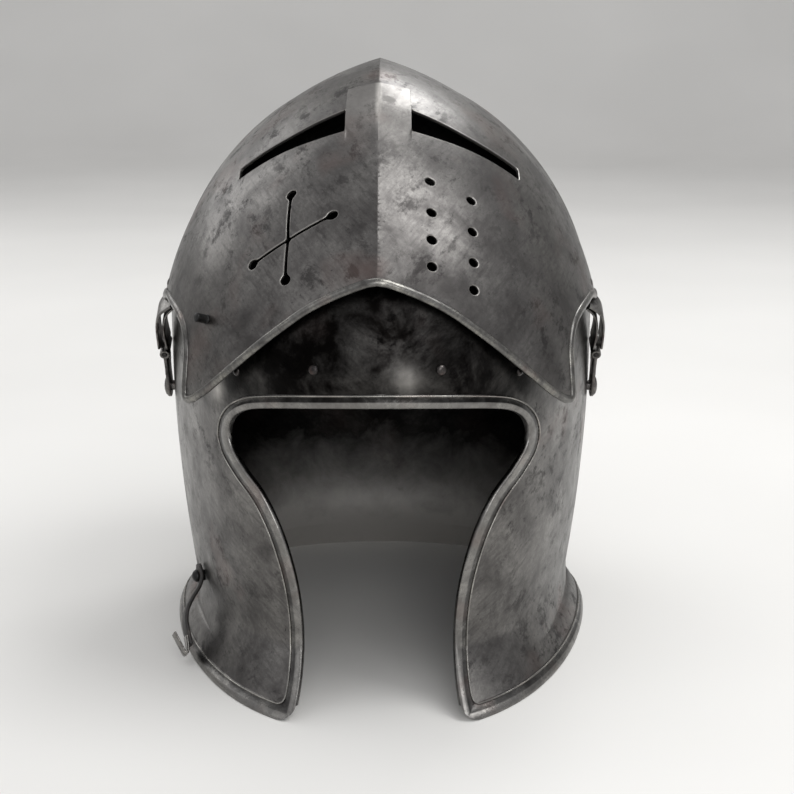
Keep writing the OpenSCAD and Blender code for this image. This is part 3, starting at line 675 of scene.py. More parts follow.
# Face plate: one pointed arch turned about the pivot line. Places on it are given by their
# x or distance from the keel, and by the angle round the pivot in degrees.
visor = {
    "radius": 158.5, "halfWidth": 108.5, "arch": 56, "power": 2.2, "thick": 1.5,
    "pivot": 115.5, "gap": 2.5, "keelSoft": 0.4,
    "rollRadius": 1.35, "rollWide": 1.9, "rollIn": 1.8, "rollSink": 0.3, "underRoll": 1.8,
    "sight": {"x": (14.3, 26.2, 39.5, 51, 62.4), "top": (65.1, 64.8, 64.5, 64.9, 65.7),
              "low": (58.7, 59.2, 60.1, 60.8, 61.5), "corner": 0.35},
    "breaths": [(21.9, 48.1), (22.4, 42), (22.4, 37), (22.4, 32.4),
                (39.4, 47.2), (39.6, 40.7), (39.8, 34.8), (39.8, 29.8)],
    "breathRadius": (2.35, 2.1), "cut": 0.8, "dropRadius": 2.6,
    "cross": [(36.7, 48), (52.7, 36.3), (38.1, 31.4), (18.7, 41.1)],
    "crossing": (37.4, 38.7), "crossFrom": 1.55, "flareFrom": 4.2, "flareTo": (3, 1.25),
    "dropHalfTurn": 128,
    # three rings round each hole, by how far they lie from its edge
    "lipOut": (0, -0.22, -0.6),
    # for points on the outline, on each ring and elsewhere: height, lean of shading, wear
    "lipDrop": (0, -0.34, -0.09, 0, 0), "lipLean": (0, 1.1, 0.45, 0, 0),
    "lipWear": (0, 0.55, 0.3, 0, 0),
    "chin": [(-139.7, 190.5), (-137, 184.8), (-134, 178.2), (-130.6, 169.8), (-125.4, 159.8),
             (-118.8, 149.8), (-109.8, 139.4), (-101.5, 133), (-95.5, 130.4), (-91.6, 131.4),
             (-90, 135.5), (-89, 143), (-86, 153), (-79, 160.5), (-68, 164.6), (-54, 166.4),
             (-40, 166.8)],
    "chinFrom": (-146, 199),
    "rear": [(-25, 163.5), (-13, 163), (-9, 166), (-5, 190), (0, 235), (7, 285)],
}

# Half of the arch as a table: x, radius, and distance from the keel
archWidth, archPower = visor["halfWidth"] + visor["arch"], 2 / visor["power"]
openTurn = math.asin((visor["arch"] / archWidth) ** (visor["power"] / 2))
phase = openTurn + (math.pi / 2 - openTurn) * np.linspace(0, 1, 6001)
archX = archWidth * np.sin(phase) ** archPower - visor["arch"]
archR = (np.clip(np.cos(phase), 0, 1) ** archPower / math.cos(openTurn) ** archPower
         * visor["radius"])
archT = np.r_[0, np.cumsum(np.hypot(np.diff(archX), np.diff(archR)))]
wholeT = archT[-1]


def atT(t, step=0.4):  # x, radius, and the way outwards
    t = np.clip(t, 0, wholeT)
    x, r = np.interp(t, archT, archX), np.interp(t, archT, archR)
    dx, dr = (np.interp(np.minimum(t + step, wholeT), archT, run)
              - np.interp(np.maximum(t - step, 0), archT, run) for run in (archX, archR))
    size = np.hypot(dx, dr)
    return x, r, -dr / size, dx / size


def tOfX(x):
    return np.interp(x, archX, archT)


def tOfR(r):
    return np.interp(-np.asarray(r, float), -archR, archT)


def onPlate(t, angle, out=0.0, side=1):  # a spot on the plate and its outward direction
    x, r, nx, nr = atT(t)
    c, s = np.cos(angle), np.sin(angle)
    spot = np.stack([side * (x + out * nx), -(r + out * nr) * c,
                     visor["pivot"] + (r + out * nr) * s], -1)
    return spot, np.stack([side * nx, -nr * c, nr * s], -1)


def unrolled(t, angle):  # the plate laid nearly flat round its pivot
    rho = wholeT - np.asarray(t, float)
    return np.stack([-rho * np.cos(angle), rho * np.sin(angle)], -1)


def rolledUp(p):
    return wholeT - np.hypot(p[..., 0], p[..., 1]), np.arctan2(p[..., 1], -p[..., 0])


def sideOn(p):  # from y and z, as seen from the side
    y, z = p[:, 0], p[:, 1] - visor["pivot"]
    return tOfR(np.minimum(np.hypot(y, z), visor["radius"])), np.arctan2(z, -y)


def insideLoop(p, loop):  # which points a closed outline holds
    x, y = p[:, 0][:, None], p[:, 1][:, None]
    ax, ay = loop[:, 0][None], loop[:, 1][None]
    bx, by = np.roll(loop[:, 0], -1)[None], np.roll(loop[:, 1], -1)[None]
    crossing = (ay > y) != (by > y)
    with np.errstate(divide="ignore", invalid="ignore"):
        at = ax + (y - ay) * (bx - ax) / (by - ay)
    return (np.sum(crossing & (x < at), 1) % 2) == 1


def roundHole(x, degrees, radii, count=28):
    t0, a0 = float(tOfX(x)), math.radians(degrees)
    k = np.arange(count) * 2 * math.pi / count
    t = t0 + radii[0] * np.cos(k)
    return unrolled(t, a0 + radii[1] * np.sin(k) / atT(t)[1])


def sightLoop():
    sight = visor["sight"]
    low, top = (evenly(easyCurve(np.stack([sight["x"], sight[edge]], 1), 8), 1.3)
                for edge in ("low", "top"))
    top = top[::-1]
    ends = [np.stack([np.full(5, a[0]), np.linspace(a[1], b[1], 7)[1:-1]], 1)
            for a, b in ((low[-1], top[0]), (top[-1], low[0]))]
    for row, way in ((low[0], 1), (low[-1], -1), (top[0], -1), (top[-1], 1)):
        row[0] += way * sight["corner"]  # eases the square corners
    loop = np.vstack([low, ends[0], top, ends[1]])
    return unrolled(tOfX(loop[:, 0]), np.radians(loop[:, 1]))


def crossLoop():
    w, r, turnTo = visor["cut"], visor["dropRadius"], visor["dropHalfTurn"]
    flareAt, flareWide = visor["flareTo"]
    middle, *ends = [unrolled(tOfX(x), math.radians(a))
                     for x, a in [visor["crossing"], *visor["cross"]]]
    loop = []
    for k in np.argsort([math.atan2(*(e - middle)[::-1]) for e in ends]):
        way = unit(ends[k] - middle)
        left = np.array([-way[1], way[0]])
        reach = float(np.linalg.norm(ends[k] - middle))
        arm = [(d, -w) for d in np.linspace(visor["crossFrom"], reach - visor["flareFrom"], 9)]
        arm.append((reach - flareAt, -w * flareWide))
        drop = [(reach + r * math.cos(q), r * math.sin(q))
                for q in np.radians(np.linspace(-turnTo, turnTo, 19))]
        loop += [middle + d * way + h * left
                 for d, h in arm + drop + [(d, -h) for d, h in arm[::-1]]]
    return np.array(loop)


def counterClockwise(loop):
    area = np.sum(loop[:, 0] * np.roll(loop[:, 1], -1) - np.roll(loop[:, 0], -1) * loop[:, 1])
    return loop if area > 0 else loop[::-1]


def plateOutline():
    low = shifted(easyCurve(visor["chin"], 6), visor["underRoll"])
    rear = evenly(easyCurve(np.vstack([low[-1:], visor["rear"]]), 8), 0.8)
    path = np.vstack([evenly(np.vstack([[visor["chinFrom"]], low[:1]]), 0.2), low[1:], rear[1:]])
    reach = np.hypot(path[:, 0], path[:, 1] - visor["pivot"])
    inside = np.nonzero(reach < visor["radius"] - 0.02)[0]
    path = path[inside[0]:inside[-1] + 1]
    a0, a1 = (math.atan2(p[1] - visor["pivot"], -p[0]) for p in (path[0], path[-1]))
    flat = evenly(np.vstack([unrolled(0, a0)[None], unrolled(*sideOn(path)),
                             unrolled(0, a1)[None]]), 1.5)
    keel = unrolled(0, np.linspace(a1, a0, int(abs(a1 - a0) * visor["radius"] / 2.0)))
    return flat, keel, (a0, a1)


def triangulated(outline, keel, keelEnds, holes):
    loops, classes = [counterClockwise(np.vstack([outline, keel[1:-1]]))], [0]
    for hole in holes:
        edge = counterClockwise(hole)
        loops += [edge] + [shifted(edge, out, True) for out in visor["lipOut"][1:]]
        classes += [1, 2, 3]
    a0, a1 = keelEnds
    soft = unrolled(visor["keelSoft"], np.linspace(a1 - 0.01, a0 + 0.01, len(keel) - 2))
    low, high = loops[0].min(0), loops[0].max(0)
    gap = visor["gap"]
    grid = np.vstack([
        np.stack(np.broadcast_arrays(np.arange(low[0] + (i % 2) * gap / 2, high[0], gap), v), 1)
        for i, v in enumerate(np.arange(low[1], high[1], gap * 0.866))])

    def onMetal(p):
        return insideLoop(p, loops[0]) & ~np.any([insideLoop(p, e) for e in loops[1::3]], 0)

    grid = grid[onMetal(grid)]
    near = np.full(len(grid), 1e9)
    for part in np.array_split(np.vstack(loops + [soft]), 12):
        near = np.minimum(near, np.min(np.linalg.norm(grid[:, None] - part[None], axis=2), 1))
    grid = grid[near > 0.95]
    points, edges, kinds, ways = [], [], [], []
    for loop, kind in zip(loops, classes):
        base = len(points)
        points += loop.tolist()
        edges += [(base + k, base + (k + 1) % len(loop)) for k in range(len(loop))]
        kinds += [kind] * len(loop)
        ways += (shifted(loop, 1, True) - loop).tolist()  # towards the hole
    points += soft.tolist() + grid.tolist()
    kinds += [4] * (len(soft) + len(grid))
    ways += [(0, 0)] * (len(soft) + len(grid))
    result = geometry.delaunay_2d_cdt([Vector(p) for p in points], edges, [], 0, 1e-7)
    flat = np.array([tuple(v) for v in result[0]])
    origin = [o[0] if o else -1 for o in result[3]]
    kind = np.array([kinds[o] if o >= 0 else 4 for o in origin])
    way = np.array([ways[o] if o >= 0 else (0, 0) for o in origin])
    tiles = np.array([list(f) for f in result[2] if len(f) == 3])
    return flat, kind, way, tiles[onMetal(flat[tiles].mean(1))]


def makeFacePlate():
    outline, keel, keelEnds = plateOutline()
    breathLoops = [roundHole(x, a, visor["breathRadius"]) for x, a in visor["breaths"]]
    holes = {1: [sightLoop()] + breathLoops, -1: [sightLoop(), crossLoop()]}
    points, normals, faces, wearAndHighlight = [], [], [], []
    drop, leans, rubbedAndLit = (np.array(visor[key]) for key in ("lipDrop", "lipLean", "lipWear"))
    for side in (1, -1):
        flat, kind, way, tiles = triangulated(outline, keel, keelEnds, holes[side])
        spot, out = onPlate(*rolledUp(flat), drop[kind], side)
        behind = onPlate(*rolledUp(flat), -visor["thick"], side)[0]
        ahead = onPlate(*rolledUp(flat + 0.2 * way), drop[kind], side)[0]
        inward = np.where(np.abs(way).sum(1, keepdims=True) > 0, unit(ahead - spot), 0)
        lean = unit(out + leans[kind][:, None] * inward)
        onKeel = np.abs(spot[:, 0]) < 1e-3
        lean[onKeel, 0] = spot[onKeel, 0] = behind[onKeel, 0] = 0
        lean = unit(lean)
        base, n = len(points), len(flat)
        tri = spot[tiles]
        facing = np.einsum("ij,ij->i", np.cross(tri[:, 1] - tri[:, 0], tri[:, 2] - tri[:, 0]),
                           out[tiles[:, 0]])
        tiles = np.where(facing[:, None] > 0, tiles, tiles[:, ::-1])
        points += spot.tolist() + behind.tolist()
        wearAndHighlight += rubbedAndLit[kind].tolist() + [0.0] * n
        for f in tiles:
            faces += [tuple(base + f), tuple(base + n + f[::-1])]
            normals += lean[f].tolist() + (-out[f[::-1]]).tolist()
        used = dict.fromkeys((f[k], f[(k + 1) % 3]) for f in tiles for k in range(3))
        for a, b in used:
            if (b, a) in used or (onKeel[a] and onKeel[b]):
                continue
            faces.append((base + b, base + a, base + n + a, base + n + b))
            wall = unit(np.cross(spot[a] - spot[b], behind[a] - spot[a]))
            normals += ([inward[b], inward[a], inward[a], inward[b]] if kind[a] == 1
                        else [wall] * 4)
    # weld the two halves on the keel
    points = np.array(points)
    keys, order = {}, np.arange(len(points))
    for i in np.nonzero(points[:, 0] == 0)[0]:
        order[i] = keys.setdefault(tuple(np.round(points[i], 3)), i)
    kept = np.unique(order)
    place = np.full(len(points), -1)
    place[kept] = np.arange(len(kept))
    faces = [tuple(int(place[order[k]]) for k in f) for f in faces]
    piece = meshObject("facePlate", points[kept], faces, [plateSteel])
    piece.data.polygons.foreach_set("use_smooth", [True] * len(faces))
    piece.data.normals_split_custom_set([Vector(v) for v in normals])
    paint(piece, "wearAndHighlight", np.array(wearAndHighlight)[kept])
    settle(piece, "visor", "plate_steel", "face_plate")


makeFacePlate()
print("face plate made")


def makeRoll():
    side = shifted(easyCurve(visor["chin"] + visor["rear"][:2], 6), visor["rollIn"])
    half = np.stack(sideOn(side), 1)
    half = evenly(half[np.r_[True, half[1:, 0] > 0.3]] * (1, 60), 0.9) / (1, 60)
    half[0, 0] = 0
    halves = [onPlate(half[:, 0], half[:, 1], -visor["rollSink"], hand) for hand in (-1, 1)]
    spot, out = (np.vstack([left[:0:-1], right]) for left, right in zip(*halves))
    spot[len(half) - 1, 0] = out[len(half) - 1, 0] = 0
    out = unit(out)
    across = unit(np.cross(unit(np.gradient(spot, axis=0)), out))
    spin = np.radians(np.arange(0, 360, 15))[None, :, None]
    rings = (spot[:, None] + visor["rollWide"] * np.cos(spin) * across[:, None]
             + visor["rollRadius"] * np.sin(spin) * out[:, None])
    settle(swept("facePlateRoll", rings, rollSteel), "visor", "worn_edge_steel",
           "face_plate_roll")


makeRoll()


# Geometry Nodes: each tree takes one mesh and its sizes, and ends as a plain coated mesh
def startTree(name, source, sizes, result):
    tree = bpy.data.node_groups.new(name, "GeometryNodeTree")
    tree.interface.new_socket(source, in_out="INPUT", socket_type="NodeSocketGeometry")
    for label, value in sizes.items():
        kind = "NodeSocketInt" if isinstance(value, int) else "NodeSocketFloat"
        tree.interface.new_socket(label, in_out="INPUT", socket_type=kind).default_value = value
    tree.interface.new_socket(result, in_out="OUTPUT", socket_type="NodeSocketGeometry")
    return tree, addNode(tree, "NodeGroupInput")


def finishTree(tree, made, material):
    real = addNode(tree, "GeometryNodeRealizeInstances", {0: made.outputs[0]})
    smooth = addNode(tree, "GeometryNodeSetShadeSmooth", {0: real.outputs[0]})
    coated = addNode(tree, "GeometryNodeSetMaterial", {0: smooth.outputs[0], 2: material})
    addNode(tree, "NodeGroupOutput", {0: coated.outputs[0]})
    return tree


def pathTree(name, material):  # a round bar that follows a path
    tree, given = startTree(name, "Path", {"Radius": 0.001}, "Bar")
    path = addNode(tree, "GeometryNodeMeshToCurve", {0: given.outputs["Path"]})
    ring = addNode(tree, "GeometryNodeCurvePrimitiveCircle",
                   {"Resolution": 18, "Radius": given.outputs["Radius"]}, mode="RADIUS")
    bar = addNode(tree, "GeometryNodeCurveToMesh", {
        0: path.outputs[0], 1: ring.outputs[0], "Fill Caps": True})
    return finishTree(tree, bar, material)


def rivetTree(name, material):  # a domed head on every point, turned its own way outwards
    tree, given = startTree(name, "Places", {
        "Head Radius": 0.0025, "Head Height": 0.0013, "Unevenness": 0.05, "Seed": 4}, "Rivets")
    ball = addNode(tree, "GeometryNodeMeshUVSphere", {"Segments": 28, "Rings": 18, "Radius": 1.0})
    size = addNode(tree, "ShaderNodeCombineXYZ", {
        0: given.outputs["Head Radius"], 1: given.outputs["Head Radius"],
        2: given.outputs["Head Height"]})
    head = addNode(tree, "GeometryNodeTransform", {
        "Geometry": ball.outputs[0], "Scale": size.outputs[0]})
    outward = addNode(tree, "GeometryNodeInputNamedAttribute", {0: "outward"},
                      data_type="FLOAT_VECTOR")
    facing = addNode(tree, "FunctionNodeAlignRotationToVector", {
        "Vector": outward.outputs[0]}, axis="Z")
    less = addNode(tree, "ShaderNodeMath", {0: 1.0, 1: given.outputs["Unevenness"]},
                   operation="SUBTRACT")
    scale = addNode(tree, "FunctionNodeRandomValue", {
        2: less.outputs[0], 3: 1.0, "Seed": given.outputs["Seed"]}, data_type="FLOAT")
    placed = addNode(tree, "GeometryNodeInstanceOnPoints", {
        "Points": given.outputs["Places"], "Instance": head.outputs[0],
        "Rotation": facing.outputs[0], "Scale": scale.outputs[1]})
    return finishTree(tree, placed, material)


def withTree(piece, tree, values, material):
    step = piece.modifiers.new(tree.name, "NODES")
    step.node_group = tree
    for socket in tree.interface.items_tree:
        if socket.in_out == "INPUT" and socket.name in values:
            step[socket.identifier] = values[socket.name]
    baked(piece)
    piece.data.materials.clear()
    piece.data.materials.append(material)


def makeRidge():  # one raised line runs round the opening, the tips and the whole rim
    look = opening["ridge"]
    path = shifted(openingLine, look["out"])
    line = lifted(path, look["lift"])
    keep = np.nonzero(onFront(path)[:, 2] > look["out"] + look["turn"])[0]
    line = line[keep[0]:keep[-1] + 1]
    edgeX = abs(line[-1][0]) + look["turn"] * 1.3
    here, outward = roundBack(look["out"], edgeX, look["points"])
    low = here + look["lift"] * outward
    bends = []
    for start, end, side in ((line[-1], low[0], 1), (low[-1], line[0], -1)):
        x = side * (edgeX - look["turn"])
        tip = np.array([x, float(frontY(np.array(x), np.array(look["out"]))), look["out"]])
        tip = tip + look["lift"] * unit(start - [0, 60, start[2]]) * (1, 1, 0)
        t = np.linspace(0, 1, 15)[1:-1, None]
        bends.append((1 - t) ** 2 * start + 2 * t * (1 - t) * tip + t * t * end)
    loop = np.vstack([line, bends[0], low, bends[1]])
    n = len(loop)
    piece = meshObject("bandRidge", loop, [], [], edges=[(i, (i + 1) % n) for i in range(n)])
    withTree(piece, pathTree("bandRidgeTree", ridgeSteel), {"Radius": look["radius"] / 1000},
             ridgeSteel)
    smoothByAngle(piece.data, 60)
    settle(piece, "helmet", "worn_edge_steel")


makeRidge()

bridge = {  # half widths in mm, levels in degrees round the pivot
    "top": 13.4, "half": 14.25, "foot": 20, "low": 52.5, "waist": 58.7, "high": 69.5,
    "corner": 1.3, "full": 65, "proud": 1.8, "soft": 0.4, "footSoft": 14, "sunk": 0.5,
    "footPower": 1.6, "footDrop": 0.1, "under": 0.7, "ridge": 0.3, "ridgeHalf": 9,
    "wearAndHighlight": 0.22, "keelWearAndHighlight": (0.4, 0.7), "columns": 72, "rows": 64,
}


def makeBridge():
    u = np.sin(math.pi / 2 * np.linspace(-1, 1, bridge["columns"] + 1))[None, :]
    v = np.sin(math.pi / 2 * np.linspace(0, 1, bridge["rows"] + 1))[:, None]
    low, waist, high = bridge["low"], bridge["waist"], bridge["high"]
    degrees = low + (high + bridge["corner"] * np.abs(u) - low) * v
    up = np.clip((degrees - waist) / (high - waist), 0, 1)
    down = np.clip((waist - degrees) / (waist - low), 0, 1)
    half = (bridge["half"] + (bridge["top"] - bridge["half"]) * up
            + (bridge["foot"] - bridge["half"]) * down ** bridge["footPower"])
    x = u * half
    toTop = (1 - v) * math.radians(high - low) * visor["radius"]
    sideSoft = bridge["soft"] + bridge["footSoft"] * down  # its foot flows into the plate
    near = np.minimum(np.clip(toTop / bridge["soft"], 0, 1),
                      np.clip((1 - np.abs(u)) * half / sideSoft, 0, 1))
    fade = gentle(np.clip((degrees - low) / (bridge["full"] - low), 0, 1))
    sunk = bridge["sunk"]
    rise = -sunk + (bridge["proud"] * fade + sunk) * np.sqrt(1 - (1 - near) ** 2)
    rise = rise + bridge["ridge"] * np.clip(1 - np.abs(x) / bridge["ridgeHalf"], 0, 1) * near * fade
    rise = rise - bridge["footDrop"] * (1 - fade)
    layers = []
    for height in (rise, -bridge["under"]):
        layer = onPlate(tOfX(np.abs(x)), np.radians(degrees), height, 1)[0]
        layer[..., 0] = np.sign(x) * np.abs(layer[..., 0])
        layer[:, bridge["columns"] // 2, 0] = 0
        layers.append(layer.reshape(-1, 3))
    rows, n = x.shape
    half = rows * n
    faces = []
    for i in range(rows - 1):
        for j in range(n - 1):
            a = i * n + j
            faces += [(a, a + 1, a + n + 1, a + n),
                      (half + a, half + a + n, half + a + n + 1, half + a + 1)]
    border = ([(0, j) for j in range(n)] + [(i, n - 1) for i in range(1, rows)]
              + [(rows - 1, j) for j in range(n - 2, -1, -1)]
              + [(i, 0) for i in range(rows - 2, 0, -1)])
    loop = [i * n + j for i, j in border]
    faces += [(a, half + a, half + b, b) for a, b in zip(loop, loop[1:] + loop[:1])]
    piece = meshObject("sightBridge", np.vstack(layers), faces, [plateSteel])
    # the bridge is rubbed brighter, and the bright stripe along its middle line is wear and a
    # painted highlight
    most, wide = bridge["keelWearAndHighlight"]  # along its middle line
    rubbedAndLit = bridge["wearAndHighlight"] * fade + most * np.exp(-(x / wide) ** 2) * fade
    paint(piece, "wearAndHighlight", np.concatenate([rubbedAndLit.ravel(), np.zeros(half)]))
    smoothByAngle(piece.data, 24, 1e-8)
    settle(piece, "visor", "plate_steel", "sight_bridge")


makeBridge()
print("roll, ridge and bridge made")


# Small fittings keep the solid's own shape; their edges are eased as a file would leave them.
def eased(name, node, material, body, slotName, width=0.25, angle=32):
    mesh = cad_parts[node].data.copy()
    mesh.name = name
    mesh.materials.clear()
    mesh.materials.append(material)
    piece = added(name, mesh)
    work = bmesh.new()
    work.from_mesh(mesh)
    bmesh.ops.remove_doubles(work, verts=work.verts, dist=2e-6)
    bmesh.ops.dissolve_limit(work, angle_limit=math.radians(1.5), verts=work.verts,
                             edges=work.edges)
    for face in work.faces:
        face.material_index = 0
    work.to_mesh(mesh)
    work.free()
    if width:
        bevel = piece.modifiers.new("easedEdges", "BEVEL")
        bevel.width, bevel.segments = width / 1000, 2
        bevel.limit_method, bevel.angle_limit = "ANGLE", math.radians(angle)
        bevel.use_clamp_overlap = True
        baked(piece)
    smoothByAngle(piece.data, angle)
    settle(piece, body, slotName, node)


for hand in ("left", "right"):
    eased(f"pivotArm_{hand}", f"pivot_arm_{hand}", hingeSteel, "visor", "hinge_steel")
    eased(f"hingePin_{hand}", f"hinge_pin_{hand}", pinIron, f"{hand}_pin", "dark_iron", 0.2)
    eased(f"pivotWasher_{hand}", f"pivot_washer_{hand}", pinIron, "helmet", "dark_iron", 0.2)
    eased(f"pivotRivet_{hand}", f"pivot_rivet_{hand}", rivetSteel, "helmet", "rivet_steel", 0)


rivets = {"lining": [(-60, 11), (-26, 11), (26, 11), (60, 11)], "liningSize": (2.2, 1.25),
          "leafSize": (1.8, 0.6), "apart": 3.6, "back": 1.5, "up": 63.0, "seed": 4}


def makeRivets(name, places, ways, size, body, node, steel):
    piece = meshObject(name, places, [], [steel])
    aim = piece.data.attributes.new("outward", "FLOAT_VECTOR", "POINT")
    aim.data.foreach_set("vector", np.asarray(ways, float).ravel())
    withTree(piece, rivetTree(name + "Tree", steel), {
        "Head Radius": size[0] / 1000, "Head Height": size[1] / 1000,
        "Seed": rivets["seed"]}, steel)
    settle(piece, body, "rivet_steel", node)


liningSpots = np.array(rivets["lining"], float)
makeRivets("liningRivets", lifted(liningSpots, 0.12),
           unit(lifted(liningSpots, 1) - lifted(liningSpots, 0)), rivets["liningSize"],
           "helmet", "lining_rivets", liningSteel)


arm = {"pinSide": 103.9, "pin": 24.9, "lean": 28}


def fromArm(p, side=1):  # the arm's own frame starts at the pivot and leans forward
    turned = Matrix.Rotation(math.radians(arm["lean"]), 3, "X") @ Vector(p)
    return np.array([side * turned[0], turned[1], turned[2]])


def stripRings(line, gap, spin, softness, halfDeep, halfAt, place):
    # rings round a flat strip; halfDeep is negative where its left side is the outer one
    line = evenly(easyCurve(line, 6), gap)
    rings = []
    for (x, up), (wayX, wayUp) in zip(line, unit(np.gradient(line, axis=0))):
        ring = []
        for k in np.radians(spin):
            c, s = math.cos(k), math.sin(k)
            wide = halfAt(up) * math.copysign(abs(c) ** softness[0], c)
            deep = halfDeep * math.copysign(abs(s) ** softness[1], s)
            ring.append(place(x + wayUp * deep, wide, up - wayX * deep))
        rings.append(ring)
    return np.array(rings)


# The leaf is one strip folded round the pin; both layers run up and tuck under the plate.
leaf = {
    "layers": [[(1.75, 1.0), (2.3, 3.4), (2.4, 8), (2.4, 13), (2.1, 18), (1.2, 22.3),
                (-0.5, 25.4), (-2.8, 27.6), (-5.6, 29.6)],
               [(-1.75, 1.0), (-1.5, 4), (-1.0, 9), (-0.8, 13), (-1.1, 18), (-2.1, 22.3),
                (-3.8, 25.6), (-6.6, 28.4)]],
    "thick": 1.35, "halfWide": 6.8, "halfNeck": 2.2,
    # the knuckle is a short tube round the pin: radius, and how far across, once round it
    "knuckle": [(1.35, -2.2), (2.2, -2.2), (2.4, -2.0), (2.4, 2.0), (2.2, 2.2), (1.35, 2.2)],
    "steps": 32,
}


def makeLeaf(hand, side):
    def place(x, across, up):
        return (fromArm((arm["pinSide"] + x, across, arm["pin"] + up), side)
                + (0, 0, visor["pivot"]))

    def halfAt(up):  # narrow at the knuckle
        return leaf["halfNeck"] + (leaf["halfWide"] - leaf["halfNeck"]) * min(
            1, max(0, (up - 2.6) / 1.2))

    points, faces = [], []
    for line in leaf["layers"]:
        rings = stripRings(line, 0.7, np.arange(10, 370, 20), (0.25, 0.5), leaf["thick"] / 2,
                           halfAt, place)
        faces += [tuple(len(points) + k for k in f) for f in sweepFaces(*rings.shape[:2])]
        points += rings.reshape(-1, 3).tolist()
    base, steps, count = len(points), leaf["steps"], len(leaf["knuckle"])
    turns = [2 * math.pi * k / steps for k in range(steps)]
    points += [place(r * math.cos(k), across, r * math.sin(k)).tolist()
               for r, across in leaf["knuckle"] for k in turns]
    for i in range(count):
        row, over = base + i * steps, base + (i + 1) % count * steps
        faces += [(row + k, row + (k + 1) % steps, over + (k + 1) % steps, over + k)
                  for k in range(steps)]
    piece = meshObject(f"hingeLeaf_{hand}", points, faces, [hingeSteel])
    smoothByAngle(piece.data, 45, 1e-8)
    settle(piece, "visor", "hinge_steel", f"hinge_leaf_{hand}")


for hand in ("left", "right"):
    side = 1 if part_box(f"leaf_rivets_{hand}")[0][0] > 0 else -1
    makeLeaf(hand, side)
    spots, ways = [], []
    for s in (-1, 1):
        y, z = fromArm((0, s * rivets["apart"] - rivets["back"], rivets["up"]))[1:]
        spot, way = onPlate(float(tOfR(math.hypot(y, z))), math.atan2(z, -y), 0.05, side)
        spots.append(spot)
        ways.append(way)
    makeRivets(f"leafRivets_{hand}", spots, ways, rivets["leafSize"], "visor",
               f"leaf_rivets_{hand}", rivetSteel)
print("fittings made")


def turnedPiece(name, profile, foot, way, material, steps=48):  # turned on a lathe
    upright = np.array(Vector(way).normalized().to_track_quat("Z", "Y").to_matrix())
    k = np.arange(steps) * 2 * math.pi / steps
    rings = [np.stack([r * np.cos(k), r * np.sin(k), np.full(steps, h)], 1) @ upright.T
             + np.asarray(foot) for r, h in profile]
    return swept(name, rings, material, 40, 2e-7, False)


peg = {"x": 73.5, "angle": 28.4, "profile": [
    (0, -0.2), (2.2, -0.2), (2.2, 0.25), (2.0, 0.45), (1.95, 0.7), (1.95, 4.6), (2.0, 4.8),
    (2.05, 5.1), (1.95, 5.45), (1.6, 5.65), (0, 5.7)]}
pegFoot, pegWay = onPlate(tOfX(peg["x"]), math.radians(peg["angle"]), 0.1, -1)
settle(turnedPiece("liftingPeg", peg["profile"], pegFoot, pegWay, blackIron),
       "visor", "black_iron", "lifting_peg")

stud = {"place": (-83.556, -48.68, 34), "turn": 200, "profile": [
    (0, 0.4), (2.6, 0.4), (2.65, 0.9), (2.4, 1.2), (1.6, 1.35), (1.5, 3.4), (1.9, 3.6),
    (2.7, 3.75), (2.95, 4.1), (2.9, 4.6), (2.6, 5.2), (2.1, 5.75), (1.4, 6.2), (0.6, 6.45),
    (0, 6.5)]}
studPlace = np.array(stud["place"])
studTurn = Matrix.Rotation(math.radians(stud["turn"]), 3, "Z")
settle(turnedPiece("strapStud", stud["profile"], studPlace, studTurn @ Vector((1, 0, 0)),
                   blackIron), "helmet", "black_iron", "strap_stud")

# lines in the strap's own plane: out from the cheek, and up from the stud
strap = {
    "swing": 35, "width": 9.4, "thick": 2.0, "line": [
        (2.6, 5.5), (2.5, -1.5), (4.4, -6), (8.4, -11), (11.6, -16), (13.1, -21.5),
        (13.0, -27.5), (12.7, -33)],
    "hookWidth": 7.5, "hookThick": 1.1, "hook": [
        (14.0, -28.5), (13.95, -32), (14.3, -35.2), (15.0, -36.7), (15.9, -36.2), (17.0, -33),
        (18.2, -29.4), (19.3, -26.2)],
}


def hungStrip(name, line, width, thick, material, headRound=False):
    swing = Matrix.Rotation(math.radians(strap["swing"]), 3, "X")

    def halfAt(up):
        if headRound and up > 1:  # rounded end above the stud
            return math.sqrt(max(0.3, (width / 2) ** 2 - (up - 1.0) ** 2 * 0.98))
        return width / 2

    def place(x, across, up):
        return np.array(studTurn @ (swing @ Vector((x, across, up)))) + studPlace

    return swept(name, stripRings(line, 0.6, np.arange(0, 360, 15), (0.35, 0.7), -thick / 2,
                                  halfAt, place), material)


settle(hungStrip("closingStrap", strap["line"], strap["width"], strap["thick"], strapLeather,
                 True), "strap", "strap_leather", "closing_strap")
settle(hungStrip("strapHook", strap["hook"], strap["hookWidth"], strap["hookThick"], hookSteel),
       "strap", "bright_steel", "strap_hook")
print("strap and studs made")


# Plain pale floor that bends up into a backdrop
stageLook = {"colours": ("#dddcd9", "#e3e2df"), "reach": 9.0, "wide": 9.0, "behind": 2.2,
             "bend": 0.8, "tall": 3.0}


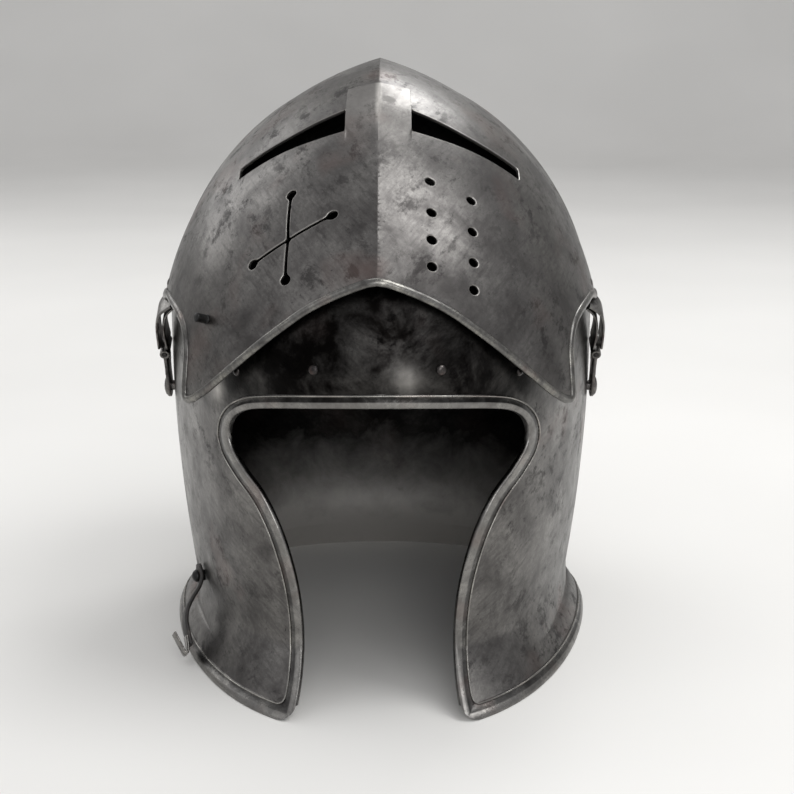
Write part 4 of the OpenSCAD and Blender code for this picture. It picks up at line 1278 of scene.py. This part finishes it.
def makeStage():
    profile = [(-stageLook["reach"], 0)] + [
        (stageLook["behind"] + stageLook["bend"] * math.sin(k),
         stageLook["bend"] * (1 - math.cos(k))) for k in np.radians(np.arange(0, 91, 6))]
    profile.append((profile[-1][0], stageLook["tall"]))
    mesh = bpy.data.meshes.new("stageFloor")
    mesh.from_pydata([(x, y, z) for y, z in profile
                      for x in (-stageLook["wide"], stageLook["wide"])], [],
                     [(2 * i, 2 * i + 1, 2 * i + 3, 2 * i + 2) for i in range(len(profile) - 1)])
    mesh.polygons.foreach_set("use_smooth", [True] * len(mesh.polygons))
    material, tree, spot = startMaterial("paleStudioPaper")
    soft = addNode(tree, "ShaderNodeTexNoise", {0: spot, "Scale": 3.0, "Detail": 2})
    tone = addNode(tree, "ShaderNodeValToRGB", {0: soft.outputs[0]},
                   stops=list(zip((0.3, 0.7), stageLook["colours"])))
    mesh.materials.append(finishMaterial(material, {
        "Base Color": tone.outputs[0], "Roughness": 0.8}))
    added("stageFloor", mesh)


makeStage()

# Soft boxes: the key high to the right, one low before the opening, and weaker ones round about
lamps = {
    "keyBox": {"place": (0.75, -0.25, 1.3), "size": 0.8, "power": 9},
    "bridgeBox": {"place": (0.45, 1.0, 1.2), "size": 0.5, "power": 5},
    "frontBox": {"place": (0.5, -1.5, 0.9), "size": 0.9, "power": 5},
    "openingBox": {"place": (0.05, -1.0, 0.42), "size": 0.5, "power": 1.6},
    "fillBox": {"place": (-1.3, -0.7, 1.0), "size": 1.0, "power": 1.6},
    "topBox": {"place": (-0.1, 0.45, 1.5), "size": 0.9, "power": 3},
    "backBox": {"place": (-1.1, 1.0, 0.9), "size": 0.9, "power": 4},
}
aimedAt = Vector((0, 0, 0.13))
for name, lamp in lamps.items():
    data = bpy.data.lights.new(name, "AREA")
    data.energy, data.size, data.shape = lamp["power"], lamp["size"], "SQUARE"
    holder = added(name, data)
    holder.location = lamp["place"]
    aim = aimedAt - Vector(lamp["place"])
    holder.rotation_euler = aim.to_track_quat("-Z", "Y").to_euler()

world = bpy.data.worlds.new("paleStudio")
bpy.context.scene.world = world
world.use_nodes = True
world.node_tree.nodes.clear()
sky = addNode(world.node_tree, "ShaderNodeBackground", {0: fromHex("#e8e8ea"), 1: 0.7})
addNode(world.node_tree, "ShaderNodeOutputWorld", {0: sky.outputs[0]})
print("stage and light made")
